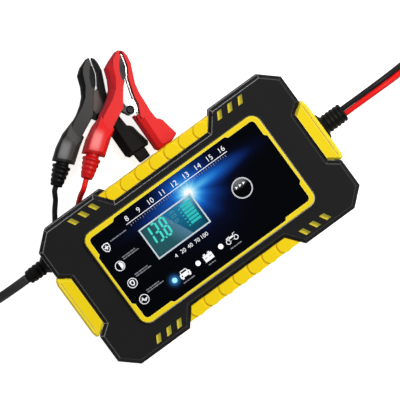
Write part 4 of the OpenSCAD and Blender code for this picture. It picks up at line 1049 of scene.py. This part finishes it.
# a scale of volts along the top, and a row of ampere-hours under the display
SCALE_Y, RULE_Y, RULE_END = 22.1, 21.0, 33.3
VOLT_FIRST, VOLT_COUNT, VOLT_X, VOLT_PITCH = 8, 9, -31.2, 7.8
TICK_COUNT, TICK_PITCH, TICK_HALF = 41, 1.56, 0.15
volts = [(str(VOLT_FIRST + k), VOLT_X + VOLT_PITCH * k, SCALE_Y) for k in range(VOLT_COUNT)]
figures_at("volt_figures", volts, 2.9)
ticks = []
for k in range(TICK_COUNT):
    x, drop = VOLT_X + TICK_PITCH * k, 1.9 if k % 5 else 2.4
    ticks.append(rect(x - TICK_HALF, RULE_Y - drop, x + TICK_HALF, RULE_Y - 1))
stencil("volt_rule", [rect(-RULE_END, RULE_Y - 0.35, RULE_END, RULE_Y)], PANEL_TOP, PRINT_WHITE)
stencil("volt_ticks", ticks, PANEL_TOP, PRINT_GREY)
HOURS = ("4", "20", "40", "70", "100")
figures_at("hour_figures", [(hours, -21.5 + 4.6 * k, -9.4) for k, hours in enumerate(HOURS)], 2.2)

# small signs down the left side: a shield, and three hoops with simple marks in them
SIGN_X, SHIELD_Y, METER_Y, GUARD_Y, PULSE_Y = -49, 17, 5, -6.3, -17
HOOP_R, METER_R, SIGN_LINE = 2.75, 2, 0.4
SHIELD = [(0, -2.6), (1.5, -1.5), (2.1, 0), (2.1, 2.1), (0, 2.7), (-2.1, 2.1), (-2.1, 0), (-1.5, -1.5)]
CROSS = [(0.35, 0.35), (0.35, 1.2), (-0.35, 1.2), (-0.35, 0.35), (-1.2, 0.35), (-1.2, -0.35),
         (-0.35, -0.35), (-0.35, -1.2), (0.35, -1.2), (0.35, -0.35), (1.2, -0.35), (1.2, 0.35)]
PULSE = [(-2, 0), (-1.1, 0), (-0.6, 1.4), (0.3, -1.3), (0.8, 0), (2, 0)]


def placed(shape, y, size=1.0):
    """A sign's outline set in the left row."""
    return [(SIGN_X + px * size, y + py * size) for px, py in shape]


signs = [placed(SHIELD, SHIELD_Y, size) for size in (1, 0.78)] + [placed(CROSS, SHIELD_Y + 0.2)]
for y in (METER_Y, GUARD_Y, PULSE_Y):
    signs += hoop(SIGN_X, y, HOOP_R, SIGN_LINE)
half_disc = [(0, -METER_R)]
for angle in range(-90, 91, 15):
    half_disc.append((METER_R * math.cos(math.radians(angle)), METER_R * math.sin(math.radians(angle))))
signs.append(placed(half_disc, METER_Y))
signs += [placed(SHIELD, GUARD_Y, size) for size in (0.62, 0.36)]
pulse = placed(PULSE, PULSE_Y)
signs += [bar(*start, *end, SIGN_LINE) for start, end in zip(pulse, pulse[1:])]
stencil("side_signs", signs, PANEL_TOP, PRINT_WHITE)

DASH_HIGH, DASH_LEAST, DASH_SHORT, DASH_MORE, DASH_GAP = 0.6, 0.7, 0.75, 0.55, 0.3


def dashes(x, y, length):
    """A row of short dashes of uneven length."""
    row, end, k = [], x + length, 0
    while x < end - DASH_LEAST:
        width = DASH_SHORT + DASH_MORE * ((k * 7 + round(y * 10)) % 4)
        row.append(rect(x, y, min(x + width, end), y + DASH_HIGH))
        x, k = x + width + DASH_GAP, k + 1
    return row


notes = []
for k, y in enumerate((18.4, 7.7, 6.5, -3.7, -4.9, -14.2, -15.4)):
    notes += dashes(-45.4, y, 10.4 - 2 * (k % 2))
stencil("side_notes", notes, PANEL_TOP, PRINT_GREY)

# signs by the three lights: a car, a battery and a motorcycle
car = [[(-26.6, -20.3), (-20.2, -20.3), (-20.2, -18.4), (-21, -17.9), (-21.6, -16.4), (-25.2, -16.4),
        (-25.8, -17.9), (-26.6, -18.4)], rect(-25.1, -17.9, -21.7, -16.9), rect(-26.2, -21, -25, -20.4),
       rect(-21.8, -21, -20.6, -20.4), disc(-25.4, -19.2, 0.4, 12), disc(-21.4, -19.2, 0.4, 12)]
battery = [rect(-10.8, -20.9, -5.2, -17.2), rect(-10, -17.1, -8.8, -16.4), rect(-7.2, -17.1, -6, -16.4),
           rect(-10.1, -19.1, -8.6, -18.8), rect(-7.4, -19.1, -5.9, -18.8)]
motorcycle = hoop(5.4, -19, 1.45, 0.45) + hoop(10.2, -19, 1.45, 0.45)
motorcycle.append([(5.6, -18.7), (7, -17.2), (8.6, -17), (9.4, -17.6), (9.9, -18.6), (8.4, -19.2),
                   (6.9, -19.2)])
motorcycle += [bar(9.3, -17.3, 10, -16.2, 0.4), bar(9.5, -16.3, 10.9, -16.3, 0.4),
               bar(4.9, -17.2, 7.2, -16.8, 0.5)]
stencil("use_signs", car + battery + motorcycle, PANEL_TOP, PRINT_WHITE)
captions = dashes(-27, -23, 7.2) + dashes(-10.4, -23, 4.8) + dashes(4, -23, 7.6)
stencil("use_notes", captions, PANEL_TOP, PRINT_GREY)


# three arrowheads in a row on the button, which ride with it
sign_x, sign_y = BUTTON.x / MM, BUTTON.y / MM + 1.9
heads = [[(sign_x + k - 0.7, sign_y - 0.8), (sign_x + k + 0.8, sign_y), (sign_x + k - 0.7, sign_y + 0.8)]
         for k in (-2.3, 0, 2.3)]
stencil("button_sign", heads, BUTTON_TOP, PRINT_WHITE, body="button", thick=0.02)


# ---------- floor and light ----------
FLOOR_REACH, FLOOR_GLOW = 6, 0.82
SKY_LIGHT = 0.36


def make_floor():
    """A plain pale floor, which shines only where the camera sees it."""
    mesh = bpy.data.meshes.new("floor")
    corners = [(x * FLOOR_REACH, y * FLOOR_REACH, 0) for x, y in rect(-1, -1, 1, 1)]
    mesh.from_pydata(corners, [], [(0, 1, 2, 3)])
    floor = bpy.data.objects.new("floor", mesh)
    scene.collection.objects.link(floor)
    material, tree, shader = new_material("pale_floor", Roughness=0.9, Specular_IOR_Level=0.1)
    seen = add(tree, "ShaderNodeLightPath").outputs["Is Camera Ray"]
    plug(tree, shader.inputs["Emission Strength"], calc(tree, "MULTIPLY", seen, FLOOR_GLOW))
    shader.inputs["Base Color"].default_value = (0.9, 0.9, 0.9, 1)
    shader.inputs["Emission Color"].default_value = (1, 1, 1, 1)
    mesh.materials.append(material)


def make_light(name, place, size, power):
    """A round soft light that shines on the middle of the charger."""
    data = bpy.data.lights.new(name, "AREA")
    data.shape = "DISK"
    data.size = size
    data.energy = power
    light = bpy.data.objects.new(name, data)
    scene.collection.objects.link(light)
    light.location = place
    light.rotation_mode = "QUATERNION"
    light.rotation_quaternion = Vector(place).to_track_quat("Z", "Y")


def make_world():
    """Even white light from all round."""
    world = bpy.data.worlds.new("studio")
    world.use_nodes = True
    sky = world.node_tree.nodes["Background"]
    sky.inputs["Color"].default_value = (1, 1, 1, 1)
    sky.inputs["Strength"].default_value = SKY_LIGHT
    scene.world = world


make_floor()
make_light("soft_key", (0.85, 0.15, 1.15), 0.7, 14.6)
make_light("soft_rim", (0.15, 0.95, 0.75), 0.4, 2)
make_world()
scene.view_settings.view_transform = "Standard"
